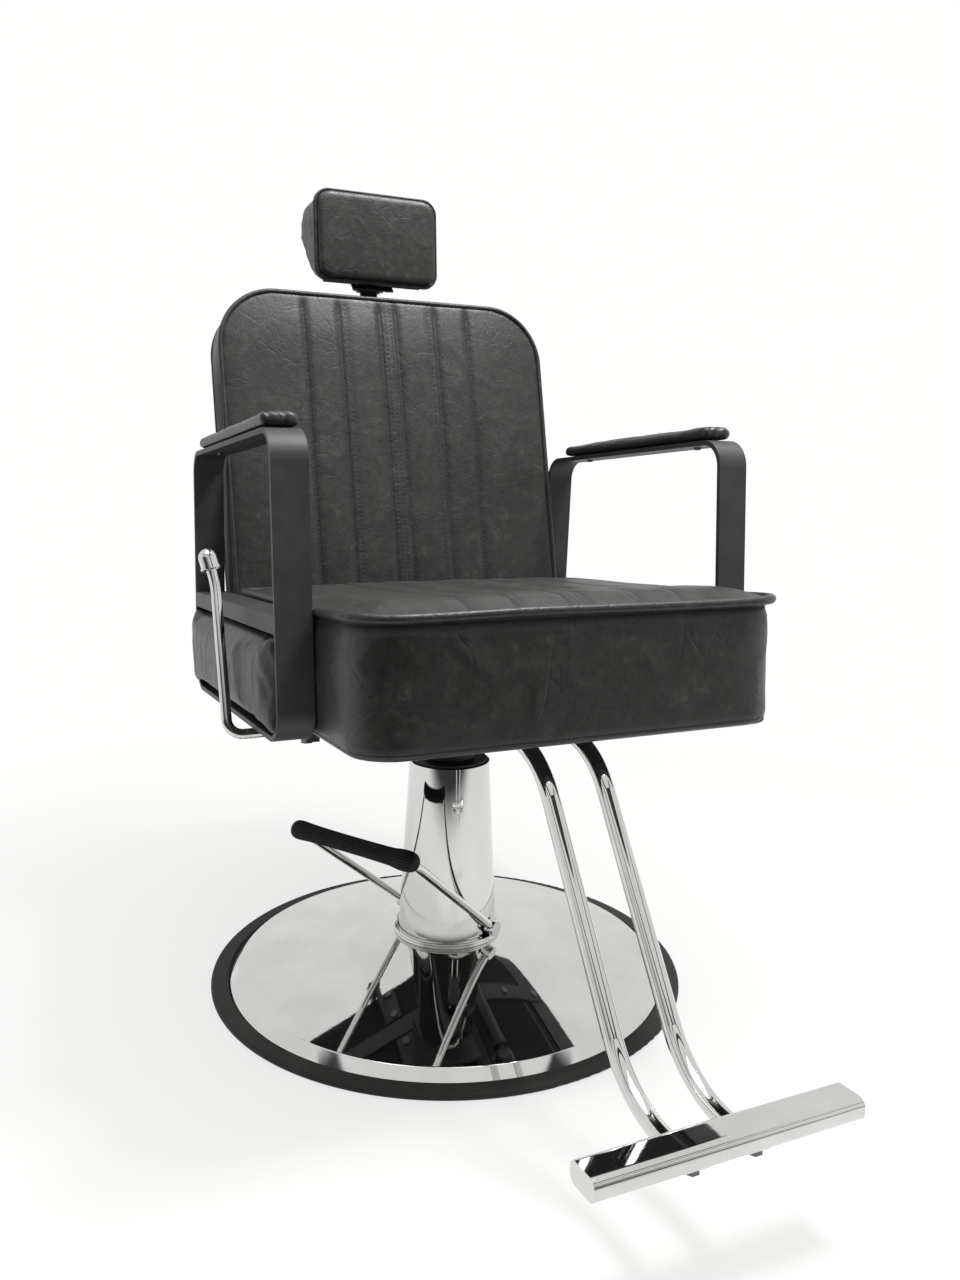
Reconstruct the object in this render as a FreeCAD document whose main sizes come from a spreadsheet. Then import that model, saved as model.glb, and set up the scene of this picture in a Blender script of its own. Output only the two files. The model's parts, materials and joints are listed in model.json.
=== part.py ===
import FreeCAD, Part
import math
import os
import Sketcher

# Hydraulic barber chair, in millimetres. Z is up, the chair faces -Y, and the origin is on the floor
# at the middle of the round base. Right and left are the sitter's: right is -X.

Vector = FreeCAD.Vector
Rotation = FreeCAD.Rotation
Placement = FreeCAD.Placement

SIZES = [
    # round base
    ("ring_radius", 325, "outer radius of the rubber trim"),
    ("ring_height", 10.5, "height of the rubber trim"),
    ("ring_width", 22, "width of the rubber trim seen from above"),
    ("ring_lip_width", 34, "width of the trim under the base plate"),
    ("ring_lip_height", 2.5, "thickness of the trim under the base plate"),
    ("plate_thickness", 5, "base plate"),
    ("plate_hole_radius", 12, "hole in the middle of the base plate"),
    ("dome_wall", 1.5, "chromed sheet of the dome"),
    ("dome_lip_width", 17, "rolled lip at the edge of the dome"),
    ("dome_lip_height", 12, "rise of the rolled lip"),
    ("dome_rise", 42, "rise of the dome from lip to neck"),
    ("dome_neck_radius", 74, "opening at the top of the dome"),
    ("bead_height", 4, "one bead of the collar"),
    ("bead_radius", 2.3, "roundness of one bead"),
    ("bead_depth", 6, "width of the collar under its beads"),
    # pump
    ("pump_flange_radius", 80, "foot of the pump casting"),
    ("pump_flange_height", 12, "thickness of the foot"),
    ("pump_bolt_circle", 60, "radius of the circle of foot bolts"),
    ("pump_core_radius", 50, "barrel of the pump casting"),
    ("pump_core_top", 130, "height of the top of the casting"),
    ("tank_radius", 42, "outer radius of the oil tank tube"),
    ("tank_wall", 3, "wall of the oil tank tube"),
    ("tank_top", 296, "height of the top of the oil tank"),
    ("cylinder_bore", 25.2, "inner radius of the pressure cylinder"),
    ("cylinder_wall", 4.8, "wall of the pressure cylinder"),
    ("gland_depth", 12, "guide of the ram inside the tank"),
    ("gland_flange", 4, "flange of the ram guide"),
    ("seal_height", 4, "wiper seal on the guide"),
    ("seal_width", 5, "radial width of the wiper seal"),
    ("shroud_foot_radius", 71, "outer radius of the chromed column at its foot"),
    ("shroud_top_radius", 55, "outer radius of the chromed column at its top"),
    ("shroud_top", 306, "height of the top of the column"),
    ("shroud_wall", 1.5, "wall of the column"),
    ("cap_radius", 51, "black cap on the column"),
    ("cap_height", 3.5, "height of the cap above the column"),
    ("cap_bore", 24.5, "hole of the cap round the ram"),
    ("running", 0.05, "radial clearance of a running fit"),
    ("loose", 0.3, "clearance between neighbours that do not touch"),
    # ram
    ("ram_radius", 22.5, "ram"),
    ("ram_rise", 0.5, "ram shoulder above the cap at rest"),
    ("piston_height", 12, "piston"),
    ("piston_groove", 4, "height of the piston seal"),
    ("piston_groove_depth", 3, "depth of the groove for the seal"),
    ("spigot_radius", 16, "threaded spigot on top of the ram"),
    ("spigot_length", 56, "length of the spigot"),
    ("thrust_height", 2, "bronze thrust washer"),
    ("thrust_radius", 28, "outer radius of the thrust washer"),
    ("hub_radius", 34, "swivel hub"),
    ("hub_length", 25.7, "length of the swivel hub"),
    ("bush_wall", 4, "wall of the bronze bush"),
    ("washer_height", 3, "flange of the ram nut"),
    ("washer_radius", 30, "outer radius of that flange"),
    ("nut_height", 15, "ram nut"),
    ("nut_corner_radius", 26.5, "across-corners radius of the ram nut"),
    # pedal
    ("pedal_turn_angle", 30.3, "turn of the pump about Z"),
    ("pedal_axis_height", 80.5, "height of the pedal shaft"),
    ("pedal_shaft_radius", 7, "pedal shaft"),
    ("notch_margin", 3, "room round the shaft in the notches of the shroud"),
    ("pedal_shaft_half", 84, "half length of the pedal shaft"),
    ("knuckle_radius", 10.5, "end knuckle of the pedal shaft"),
    ("knuckle_length", 13.5, "length of the end knuckle"),
    ("pedal_slope_angle", 38.9, "slope of the pedal at rest, degrees"),
    ("pedal_reach", 253, "shaft to grip"),
    ("pedal_half_width", 91, "half width of the pedal at the grip"),
    ("pedal_foot_half", 77, "half width of the pedal at the shaft"),
    ("pedal_bend", 22, "bend of the pedal rod"),
    ("pedal_rod_radius", 5.5, "pedal rod"),
    ("grip_radius", 11.5, "rubber grip"),
    ("grip_overhang", 9, "grip past the middle of each rod"),
    ("cam_reach", 22, "pump finger, shaft to tip"),
    ("cam_angle", 12.5, "angle of the finger below level at rest, degrees"),
    ("cam_tip_radius", 6, "rounded tip of the finger"),
    ("cam_width", 14, "width of the finger"),
    ("cam_slot_clear", 3, "room round the finger in the casting"),
    ("cam_slot_roof", 18, "slot roof above the shaft"),
    ("plunger_radius", 7, "pump plunger"),
    ("plunger_length", 30.5, "length of the pump plunger"),
    ("plunger_travel", 10, "room above the plunger"),
    # seat: the whole chair above the ram leans back about X
    ("lean_angle", 3.8, "lean of the seat, degrees"),
    ("lean_height", 450, "height of the point that the seat leans about"),
    ("seat_bottom", 398, "underside of the seat board"),
    ("board_thickness", 12, "seat board"),
    ("seat_top", 544.5, "top edge of the seat cushion"),
    ("seat_half_width", 257.4, "half width of the seat cushion"),
    ("seat_front", 378, "front of the seat, ahead of the swivel"),
    ("seat_rear", 212, "rear of the seat board, behind the swivel"),
    ("cushion_rear", 135, "rear of the seat cushion, ahead of the back"),
    ("seat_corner", 52, "rounding of the front corners"),
    ("seat_rear_corner", 20, "rounding of the rear corners"),
    ("board_inset", 3, "board inside the cushion outline"),
    ("seat_edge_round", 10, "rounding of the upper edge"),
    ("bracket_half_width", 50, "hub bracket"),
    ("bracket_half_depth", 65, "hub bracket, front to rear"),
    ("bracket_floor", 8, "floor of the hub bracket"),
    ("bracket_wall", 7, "cheeks of the hub bracket"),
    ("mount_half_width", 85, "mount plate"),
    ("mount_half_depth", 75, "mount plate, front to rear"),
    ("mount_thickness", 6, "mount plate"),
    ("mount_bolt_x", 68, "mount plate bolts from the middle"),
    ("mount_bolt_y", 62, "mount plate bolts, front to rear"),
    ("bolt_radius", 4, "M8 bolts"),
    ("bolt_head_radius", 7.5, "across-corners radius of an M8 head"),
    ("bolt_head_height", 5.3, "M8 head"),
    ("bolt_bite", 10, "bolt length inside the board"),
    ("bolt_clear", 0.2, "radial room round a bolt"),
    # arms
    ("arm_inner", 257.8, "inner face of the arm bars, from the middle"),
    ("arm_width", 40, "width of the flat bar"),
    ("arm_bar", 6, "thickness of the flat bar"),
    ("arm_front", 241, "front face of the arm, ahead of the swivel"),
    ("arm_rear_foot", 236, "rear face of the arm at its foot"),
    ("arm_rear_top", 199, "rear face of the arm at its top"),
    ("arm_top", 728, "top of the upper bar"),
    ("arm_top_round", 34, "outer bend at the top corners"),
    ("arm_foot_round", 36, "outer bend at the foot corners"),
    ("rail_top", 535, "top of the side rail"),
    ("rail_height", 20, "height of the side rail"),
    ("rail_wall", 2, "wall of the side rail"),
    ("side_pad_bulge", 46, "thickness of the side pad"),
    ("side_pad_round", 14, "rounding of the side pad"),
    ("side_pad_corner", 10, "upper corners of the side pad"),
    ("strap_thickness", 6, "cross strap under the seat"),
    ("strap_width", 36, "width of a cross strap"),
    ("strap_half_length", 288, "half length of a cross strap"),
    ("strap_front", 145, "middle of the front strap, ahead of the swivel"),
    ("strap_rear", 98, "middle of the rear strap, behind the swivel"),
    ("strap_board_bolt", 200, "strap bolts into the board"),
    ("arm_pad_height", 17, "arm pad"),
    ("arm_pad_width", 45, "width of the arm pad"),
    ("arm_pad_front", 212, "front end of the arm pad, ahead of the swivel"),
    ("arm_pad_rear", 150, "rear end of the arm pad"),
    ("arm_pad_round", 6, "rounding of the arm pad"),
    ("arm_pad_corner", 12, "corners of the arm pad"),
    ("pad_screw_radius", 2.5, "arm pad screws"),
    ("pad_screw_bite", 9, "screw length inside the pad"),
    ("pad_screw_head", 4.6, "head of such a screw"),
    ("pad_screw_head_height", 3, "head of such a screw"),
    ("pad_screw_inset", 45, "screws from the ends of the pad"),
    # footrest
    ("tube_radius", 10, "footrest tubes"),
    ("tube_wall", 1.5, "wall of the footrest tubes"),
    ("tube_spread", 34, "each tube from the middle"),
    ("tube_gap", 1, "gap between the tubes and the seat board"),
    ("tube_rear", 175, "rear end of the tubes, ahead of the swivel"),
    ("tube_straight", 84, "straight run under the seat"),
    ("tube_upper_bend", 100, "upper bend radius"),
    ("tube_angle", 59, "slope of the tubes, degrees"),
    ("tube_run", 245.8, "sloping run"),
    ("tube_lower_bend", 110, "lower bend radius"),
    ("tube_toe", 3.5, "level run at the foot end"),
    ("tab_thickness", 6, "flattened end of the tube"),
    ("tab_half_width", 13, "flattened end, half width"),
    ("tab_taper", 11, "length of the squeeze"),
    ("tab_length", 28, "flattened end after the squeeze"),
    ("tab_bolt", 8, "foot bar bolt from the end of the tab"),
    ("clamp_half_width", 62, "footrest clamp"),
    ("clamp_length", 60, "footrest clamp, front to rear"),
    ("clamp_setback", 180, "rear face of the clamp, ahead of the swivel"),
    ("clamp_height", 25, "footrest clamp"),
    ("clamp_bolt_x", 53, "clamp bolts from the middle"),
    ("clamp_bolt_inset", 14, "clamp bolts from its ends"),
    ("bar_half_length", 143.7, "foot bar with its caps"),
    ("bar_width", 40, "foot bar, front to rear"),
    ("bar_height", 22, "foot bar"),
    ("bar_round", 8.5, "rounding of the foot bar"),
    ("bar_wall", 2, "wall of the foot bar"),
    ("cap_thickness", 3, "end caps of the foot bar"),
    ("cap_plug", 8, "plug of an end cap"),
    ("bar_gap", 0.5, "bar behind the start of the flattened end"),
    ("bar_bolt_bite", 4, "foot bar bolt inside the bar"),
    # recline mechanism
    ("hinge_y", 240, "recline hinge behind the swivel"),
    ("hinge_z", 384, "height of the recline hinge"),
    ("hinge_pin_radius", 8, "recline hinge pin"),
    ("hinge_boss", 18, "boss round the hinge"),
    ("hinge_x", 100, "middle of a back bar"),
    ("back_bar_thickness", 8, "back bar"),
    ("hinge_gap", 0.5, "side gap in the hinge"),
    ("hinge_cheek", 8, "cheek of the hinge bracket"),
    ("hinge_flange_width", 35, "flange of the hinge bracket"),
    ("hinge_bolt_inset", 12, "bracket bolts from the ends of a flange"),
    ("hinge_pin_end", 4, "head and tail of a hinge pin"),
    ("hinge_pin_head", 12, "head of a hinge pin"),
    ("hinge_flange_front", 122, "front end of the flange"),
    ("hinge_flange_rear", 205, "rear end of the flange"),
    ("lug_reach", 55, "hinge to strut lug"),
    ("lug_angle", 17.5, "lug behind the vertical at rest, degrees"),
    ("lug_hole", 7.2, "hole of the strut lug"),
    ("lug_play", 1.2, "strut pin below the middle of the lug hole at rest"),
    ("lug_width", 20, "arm of the strut lug"),
    ("lug_boss", 12, "boss round the lug hole"),
    ("strut_front", 60, "front pivot of the strut, ahead of the swivel"),
    ("strut_front_z", 345, "height of the front pivot"),
    ("strut_pin_radius", 5, "strut pins"),
    ("pin_cap", 3, "caps of a strut pin"),
    ("pin_cap_radius", 7.5, "caps of a strut pin"),
    ("strut_bracket_bolt", 30, "bracket bolts beside the strut"),
    ("strut_bracket_half", 28, "bracket of the strut, half length"),
    ("strut_eye", 11, "eye of the strut"),
    ("strut_eye_width", 12, "width of the eye"),
    ("strut_neck", 17, "front pivot to the barrel"),
    ("strut_end", 8, "end wall of the strut and its piston"),
    ("valve_radius", 3, "release pin of the strut"),
    ("valve_start", 6, "release pin from the front pivot"),
    ("valve_length", 19, "release pin of the strut"),
    ("strut_radius", 14, "strut tube"),
    ("strut_wall", 2.5, "wall of the strut tube"),
    ("strut_tube_length", 190, "front pivot to the end of the tube"),
    ("strut_rod_radius", 5, "strut rod"),
    ("strut_rod_tail", 130, "front pivot to the inner end of the rod"),
    ("fork_cheek", 5, "cheek of the strut fork"),
    ("fork_radius", 10, "round end of the strut fork"),
    ("fork_length", 25, "pin to the root of the fork"),
    ("fork_slot", 17, "pin to the floor of the fork"),
    ("lever_shaft_y", 100, "lever shaft ahead of the swivel"),
    ("lever_shaft_z", 388, "height of the lever shaft"),
    ("lever_radius", 6, "lever rod"),
    ("lever_x", 322, "lever from the middle"),
    ("lever_inner", 106, "inner end of the lever shaft past the middle"),
    ("lever_bend", 18, "bend of the lever"),
    ("lever_rise", 148, "straight run of the lever"),
    ("lever_angle", 13.6, "lean of the lever, degrees"),
    ("lever_jog_bend", 110, "soft bend of the hand end"),
    ("jog_angle", 12, "outward turn of the hand end, degrees"),
    ("knob_radius", 10.8, "lever knob and its round crown"),
    ("knob_length", 25, "lever knob"),
    ("knob_rim", 11.6, "rim at the foot of the knob"),
    ("knob_rim_length", 3, "rim at the foot of the knob"),
    ("knob_mouth", 8.6, "flared mouth of the knob"),
    ("knob_cover", 8, "knob beyond the end of the rod"),
    ("finger_length", 48, "release finger on the lever shaft"),
    ("finger_width", 6, "release finger"),
    ("lever_jog_run", 5.3, "straight run from the soft bend to the knob"),
    ("bearing_width", 16, "lever bearing"),
    ("bearing_front", 12, "lever bearing ahead of its shaft"),
    ("bearing_rear", 24, "lever bearing behind its shaft"),
    ("bearing_bolt", 15, "bearing bolt behind the shaft"),
    ("bearing_outer_x", 225, "outer lever bearing"),
    ("bearing_inner_x", 55, "inner lever bearing"),
    # back
    ("back_y", 163, "front of the back at its reference height"),
    ("back_z", 540, "reference height of the back"),
    ("back_angle", 9.1, "recline at rest against the seat, degrees"),
    ("back_foot", -60, "bottom of the back, from the reference up"),
    ("back_top", 431, "top of the back above the reference"),
    ("back_half_width", 254, "half width of the back"),
    ("back_corner", 87, "rounding of the upper corners"),
    ("back_foot_corner", 24, "rounding of the lower corners"),
    ("back_cushion_depth", 60, "back cushion"),
    ("back_board_depth", 12, "back board"),
    ("back_edge_round", 9, "rounding of the front edge"),
    ("back_bar_width", 28, "back bar"),
    ("back_bar_top", 300, "top of the back bars"),
    ("tab_reach", 34, "bolt tabs of the back bars"),
    ("back_tab_low", 60, "lower bolt tab"),
    ("back_tab_high", 260, "upper bolt tab"),
    ("guide_ear", 24, "bolt ears of the headrest guide"),
    ("guide_ear_drop", 30, "middle of those ears below the top of the guide"),
    ("guide_half_width", 19, "headrest guide"),
    ("guide_wall", 2.5, "front wall of the guide"),
    ("guide_back_wall", 4, "rear wall of the guide"),
    ("guide_foot", 300, "bottom of the guide"),
    ("guide_top", 422, "top of the guide"),
    ("post_half_width", 13, "headrest post"),
    ("post_thickness", 7, "headrest post"),
    ("post_bottom", 270, "bottom of the post at rest"),
    ("post_clear", 0.15, "room round the post in its guide"),
    ("clamp_screw_z", 325, "height of the clamp screw"),
    ("clamp_screw_radius", 4, "clamp screw"),
    ("clamp_screw_length", 16, "clamp screw, post to knob"),
    ("clamp_knob_radius", 16, "clamp knob"),
    ("clamp_knob_length", 14, "clamp knob"),
    ("clamp_scoop", 5, "finger scoops of the clamp knob"),
    # headrest, given in the seat's frame
    ("head_pivot_y", 315.1, "headrest hinge"),
    ("head_pivot_z", 996.2, "height of the headrest hinge"),
    ("head_plane", 22, "hinge to the slanted rear of the cushion"),
    ("slant_angle", 47.2, "slant of the rear of the cushion, degrees"),
    ("head_half_width", 95, "half width of the headrest"),
    ("head_front", 261, "front of the headrest behind the swivel"),
    ("head_bottom", 998, "bottom of the headrest"),
    ("head_top", 1122, "top of the headrest"),
    ("head_foot_run", 24, "depth of the headrest at its bottom"),
    ("head_top_run", 85, "depth of the headrest at its top"),
    ("head_slant_run", 97, "depth of the headrest at its deepest"),
    ("head_round", 13, "rounding of the headrest"),
    ("head_side_round", 8, "rounding of its sides"),
    ("head_board_half", 78, "half width of the headrest board"),
    ("head_board_depth", 9, "headrest board"),
    ("head_board_start", 6, "board from the lower edge of the slant"),
    ("head_board_length", 92, "headrest board along the slant"),
    ("head_plate_depth", 3, "headrest bracket plate"),
    ("head_plate_length", 46, "headrest bracket plate along the slant"),
    ("head_plate_half", 33, "half width of that plate"),
    ("head_screw_x", 25, "screws of that plate from the middle"),
    ("head_screw_run", 15, "screws of that plate along the slant"),
    ("head_screw_bite", 7, "screw length inside the board"),
    ("head_ear", 4, "ears of the headrest bracket"),
    ("head_knuckle", 9.5, "knuckle of the headrest post"),
    ("head_pin_radius", 4, "headrest hinge pin"),
    ("head_nut_radius", 7.5, "nut and head of that pin"),
    ("head_nut_height", 6, "nut and head of that pin"),
]


class Size:
    # A number together with the expression that gives it from the sheet.
    def __init__(self, number, text=None):
        self.number = float(number)
        self.text = text if text is not None else repr(float(number))

    def join(self, other, sign, number):
        return Size(number, "(" + self.text + " " + sign + " " + size(other).text + ")")

    def __add__(self, other):
        return self.join(other, "+", self.number + size(other).number)

    def __sub__(self, other):
        return self.join(other, "-", self.number - size(other).number)

    def __mul__(self, other):
        return self.join(other, "*", self.number * size(other).number)

    def __truediv__(self, other):
        return self.join(other, "/", self.number / size(other).number)

    def __radd__(self, other):
        return size(other) + self

    def __rsub__(self, other):
        return size(other) - self

    def __rmul__(self, other):
        return size(other) * self

    def __rtruediv__(self, other):
        return size(other) / self

    def __neg__(self):
        return size(0) - self


def size(value):
    return value if isinstance(value, Size) else Size(value)


def sine(angle):
    return Size(math.sin(math.radians(angle.number)), "sin(" + angle.text + ")")


def cosine(angle):
    return Size(math.cos(math.radians(angle.number)), "cos(" + angle.text + ")")


def tangent(angle):
    return Size(math.tan(math.radians(angle.number)), "tan(" + angle.text + ")")


def arctangent(value):
    return Size(math.degrees(math.atan(value.number)), "(atan(" + value.text + ") / 1 deg)")


def root(value):
    return Size(math.sqrt(value.number), "sqrt(" + value.text + ")")


doc = FreeCAD.newDocument("BarberChair")
sheet = doc.addObject("Spreadsheet::Sheet", "Sizes")
given = {}
for row, (alias, number, note) in enumerate(SIZES, start=1):
    sheet.set("A%d" % row, note)
    sheet.set("B%d" % row, str(number))
    sheet.setAlias("B%d" % row, alias)
    given[alias] = Size(number, "Sizes." + alias)
doc.recompute()


def of(alias):
    return given[alias]


nodes = []


def node(thing, label, frame=None):
    # Names a finished sub-part and puts it in its frame.
    thing.Label = label
    if frame is not None:
        thing.Placement = frame
    nodes.append(thing)
    return thing


# ---- frames ----

pump_frame = Placement(Vector(0, 0, 0), Rotation(Vector(0, 0, 1), of("pedal_turn_angle").number))


def turned_about_x(y, z, degrees):
    # A placement that turns about the line through (y, z) along X.
    centre = Vector(0, y, z)
    return Placement(Vector(0, 0, 0), Rotation(Vector(1, 0, 0), degrees), centre)


seat_frame = turned_about_x(0, of("lean_height").number, -of("lean_angle").number)
back_origin = Placement(Vector(0, of("back_y").number, of("back_z").number),
                        Rotation(Vector(1, 0, 0), -of("back_angle").number))
back_frame = seat_frame.multiply(back_origin)

# ---- drawing helpers ----


def new_body(name):
    return doc.addObject("PartDesign::Body", name + "_body")


def plane_of(body, role):
    return [feature for feature in body.Origin.OriginFeatures if feature.Role == role][0]


def new_sketch(body, role, offset=None):
    sketch = body.newObject("Sketcher::SketchObject", body.Name + "_sketch")
    sketch.AttachmentSupport = (plane_of(body, role), [""])
    sketch.MapMode = "FlatFace"
    if offset is not None:
        sketch.AttachmentOffset = Placement(Vector(0, 0, offset.number), Rotation())
        sketch.setExpression("AttachmentOffset.Base.z", offset.text)
    return sketch


def bind(sketch, kind, *where, value):
    index = sketch.addConstraint(Sketcher.Constraint(kind, *where, value.number))
    sketch.setExpression("Constraints[%d]" % index, value.text)


def arc_through(start, finish, radius):
    # The short arc between two points. A positive radius turns left on the way from start to finish.
    chord = finish - start
    middle = (start + finish) * 0.5
    left = Vector(-chord.y, chord.x, 0).normalize()
    turn = 1 if radius > 0 else -1
    depth = math.sqrt(max(radius * radius - chord.Length ** 2 / 4, 0))
    crown = middle - left * (turn * (abs(radius) - depth))
    return counterclockwise(start, crown, finish, turn)


def counterclockwise(start, crown, finish, turn):
    # A sketch keeps its arcs counterclockwise. Also gives which end is the start and which the finish.
    if turn > 0:
        return Part.Arc(start, crown, finish), (1, 2)
    return Part.Arc(finish, crown, start), (2, 1)


def loop(sketch, corners):
    # A closed outline. A corner is (x, y), or (x, y, radius) where an arc leads to the next corner.
    places = [Vector(size(c[0]).number, size(c[1]).number, 0) for c in corners]
    first = sketch.GeometryCount
    count = len(corners)
    ends = []
    for k in range(count):
        start = places[k]
        finish = places[(k + 1) % count]
        if len(corners[k]) == 3:
            arc, order = arc_through(start, finish, corners[k][2].number)
            sketch.addGeometry(arc)
        else:
            order = (1, 2)
            sketch.addGeometry(Part.LineSegment(start, finish))
        ends.append(order)
    for k in range(count):
        follower = (k + 1) % count
        sketch.addConstraint(Sketcher.Constraint("Coincident", first + k, ends[k][1],
                                                 first + follower, ends[follower][0]))
    for k in range(count):
        bind(sketch, "DistanceX", -1, 1, first + k, ends[k][0], value=size(corners[k][0]))
        bind(sketch, "DistanceY", -1, 1, first + k, ends[k][0], value=size(corners[k][1]))
        if len(corners[k]) == 3:
            radius = corners[k][2]
            bind(sketch, "Radius", first + k, value=radius if radius.number > 0 else -radius)


def circle(sketch, x, y, radius):
    place = Vector(size(x).number, size(y).number, 0)
    index = sketch.addGeometry(Part.Circle(place, Vector(0, 0, 1), size(radius).number))
    bind(sketch, "DistanceX", -1, 1, index, 3, value=size(x))
    bind(sketch, "DistanceY", -1, 1, index, 3, value=size(y))
    bind(sketch, "Radius", index, value=size(radius))


def box_loop(sketch, left, right, low, high):
    loop(sketch, [(left, low), (right, low), (right, high), (left, high)])


def pad(body, sketch, length, symmetric=False, reverse=False):
    feature = body.newObject("PartDesign::Pad", body.Name + "_pad")
    feature.Profile = sketch
    feature.setExpression("Length", length.text)
    if symmetric:
        feature.SideType = "Symmetric"
    feature.Reversed = reverse
    return feature


def pocket(body, sketch, length, symmetric=False, reverse=False):
    before = solid_volume(body)
    feature = body.newObject("PartDesign::Pocket", body.Name + "_pocket")
    feature.Profile = sketch
    feature.setExpression("Length", length.text)
    if symmetric:
        feature.SideType = "Symmetric"
    feature.Reversed = reverse
    if solid_volume(body) >= before:
        raise RuntimeError(body.Name + ": a pocket cuts nothing")
    return feature


def solid_volume(body):
    doc.recompute()
    return body.Shape.Volume


def fillet(body, choose, radius):
    # Rounds the edges that choose(edge) picks on the body's present shape.
    doc.recompute()
    base = body.Tip
    names = ["Edge%d" % (k + 1) for k, edge in enumerate(base.Shape.Edges) if choose(edge)]
    feature = body.newObject("PartDesign::Fillet", body.Name + "_fillet")
    feature.Base = (base, names)
    feature.setExpression("Radius", radius.text)
    doc.recompute()
    if "Invalid" in feature.State:
        raise RuntimeError(feature.Name + ": " + str(names))


def along(edge, axis):
    # True for a straight edge parallel to axis.
    if edge.Curve.TypeId != "Part::GeomLine":
        return False
    return abs(abs(edge.Curve.Direction.dot(axis)) - 1) < 1e-6


def turned(name, corners, label, frame=None, holes=None):
    # A body of revolution about Z, from corners (radius, height).
    body = new_body(name)
    sketch = new_sketch(body, "XZ_Plane")
    loop(sketch, corners)
    feature = body.newObject("PartDesign::Revolution", name + "_turn")
    feature.Profile = sketch
    feature.ReferenceAxis = (sketch, ["V_Axis"])
    if holes:
        holes(body)
    return node(body, label, frame)


def tube_section(inner, outer, low, high):
    return [(inner, low), (outer, low), (outer, high), (inner, high)]


def bent_path(name, start, legs, frame):
    # A path of straight legs (length, angle) with a bend radius between neighbours.
    sketch = doc.addObject("Sketcher::SketchObject", name + "_path")
    sketch.Placement = frame
    here = Vector(size(start[0]).number, size(start[1]).number, 0)
    for k in range(0, len(legs), 2):
        length, angle = legs[k]
        heading = math.radians(angle.number)
        if k:
            old = math.radians(legs[k - 2][1].number)
            turn = 1 if heading > old else -1
            radius = legs[k - 1]
            centre = here + normal(old) * (turn * radius.number)
            crown = centre - normal((old + heading) / 2) * (turn * radius.number)
            finish = centre - normal(heading) * (turn * radius.number)
            arc, order = counterclockwise(here, crown, finish, turn)
            bend = sketch.addGeometry(arc)
            sketch.addConstraint(Sketcher.Constraint("Tangent", bend - 1, 2, bend, order[0]))
            bind(sketch, "Radius", bend, value=radius)
            here = finish
        tip = here + Vector(math.cos(heading), math.sin(heading), 0) * length.number
        line = sketch.addGeometry(Part.LineSegment(here, tip))
        if k:
            sketch.addConstraint(Sketcher.Constraint("Tangent", bend, order[1], line, 1))
        else:
            bind(sketch, "DistanceX", -1, 1, line, 1, value=size(start[0]))
            bind(sketch, "DistanceY", -1, 1, line, 1, value=size(start[1]))
        bind(sketch, "Distance", line, value=length)
        index = sketch.addConstraint(Sketcher.Constraint("Angle", line, heading))
        sketch.setExpression("Constraints[%d]" % index, angle.text + " * 1 deg")
        here = tip
    return sketch


def normal(heading):
    # The direction to the left of a heading.
    return Vector(-math.sin(heading), math.cos(heading), 0)


def round_section(name, radius, frame):
    sketch = doc.addObject("Sketcher::SketchObject", name + "_section")
    sketch.Placement = frame
    circle(sketch, 0, 0, radius)
    return sketch


def sweep(name, path, section):
    thing = doc.addObject("Part::Sweep", name + "_sweep")
    thing.Sections = [section]
    thing.Spine = (path, [])
    thing.Solid = True
    thing.Frenet = False
    return thing


def cylinder(name, radius, height, frame):
    thing = doc.addObject("Part::Cylinder", name)
    thing.setExpression("Radius", size(radius).text)
    thing.setExpression("Height", size(height).text)
    thing.Placement = frame
    return thing


def fuse(name, parts):
    thing = doc.addObject("Part::MultiFuse", name)
    thing.Shapes = parts
    return thing


def cut(name, base, tool):
    thing = doc.addObject("Part::Cut", name)
    thing.Base = base
    thing.Tool = tool
    return thing


def group(name, parts, label, frame=None):
    # Separate solids that share one node.
    thing = doc.addObject("Part::Compound", name)
    thing.Links = parts
    return node(thing, label, frame)


def mirrored(name, source):
    thing = doc.addObject("Part::Mirroring", name)
    thing.Source = source
    thing.Normal = Vector(1, 0, 0)
    return thing


def at(x, y, z, rotation=None):
    point = Vector(size(x).number, size(y).number, size(z).number)
    return Placement(point, rotation if rotation is not None else Rotation())


TO_PLUS_X = Rotation(Vector(0, 1, 0), 90)
TO_PLUS_Y = Rotation(Vector(1, 0, 0), -90)
YZ = Rotation(Vector(1, 1, 1), 120)


def bolt(name, x, y, z, length, shank=None, head=None, height=None):
    # A hexagon bolt pointing up, with its head below (x, y, z).
    shank = shank or of("bolt_radius")
    head = head or of("bolt_head_radius")
    height = height or of("bolt_head_height")
    stem = cylinder(name + "_shank", shank, length + height, at(x, y, size(z) - height))
    top = doc.addObject("Part::Prism", name + "_head")
    top.Polygon = 6
    top.setExpression("Circumradius", head.text)
    top.setExpression("Height", height.text)
    top.Placement = at(x, y, size(z) - height)
    return fuse(name, [stem, top])


# ---- base ----

plate_top = of("ring_lip_height") + of("plate_thickness")
plate_radius = of("ring_radius") - of("ring_width")
dome_rim = plate_radius - 1
dome_crest = dome_rim - of("dome_lip_width")
dome_crest_z = plate_top + of("dome_lip_height")
dome_neck_z = dome_crest_z + of("dome_rise")
flange_top = plate_top + of("pump_flange_height")


def rubber_ring():
    outer = of("ring_radius")
    inner = plate_radius
    high = of("ring_height")
    low = of("ring_lip_height")
    shoulder = high / 2
    turned("ring", [
        (outer - of("ring_lip_width"), 0), (outer - shoulder, 0, shoulder), (outer, shoulder, shoulder),
        (outer - shoulder, high), (inner, high), (inner, low), (outer - of("ring_lip_width"), low),
    ], "rubber_ring")


def foot_bolt_places():
    return [math.radians(45 + 90 * k) for k in range(4)]


def base_plate():
    turned("plate", tube_section(of("plate_hole_radius"), plate_radius, of("ring_lip_height"), plate_top),
           "base_plate", holes=foot_bolt_holes)


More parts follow.
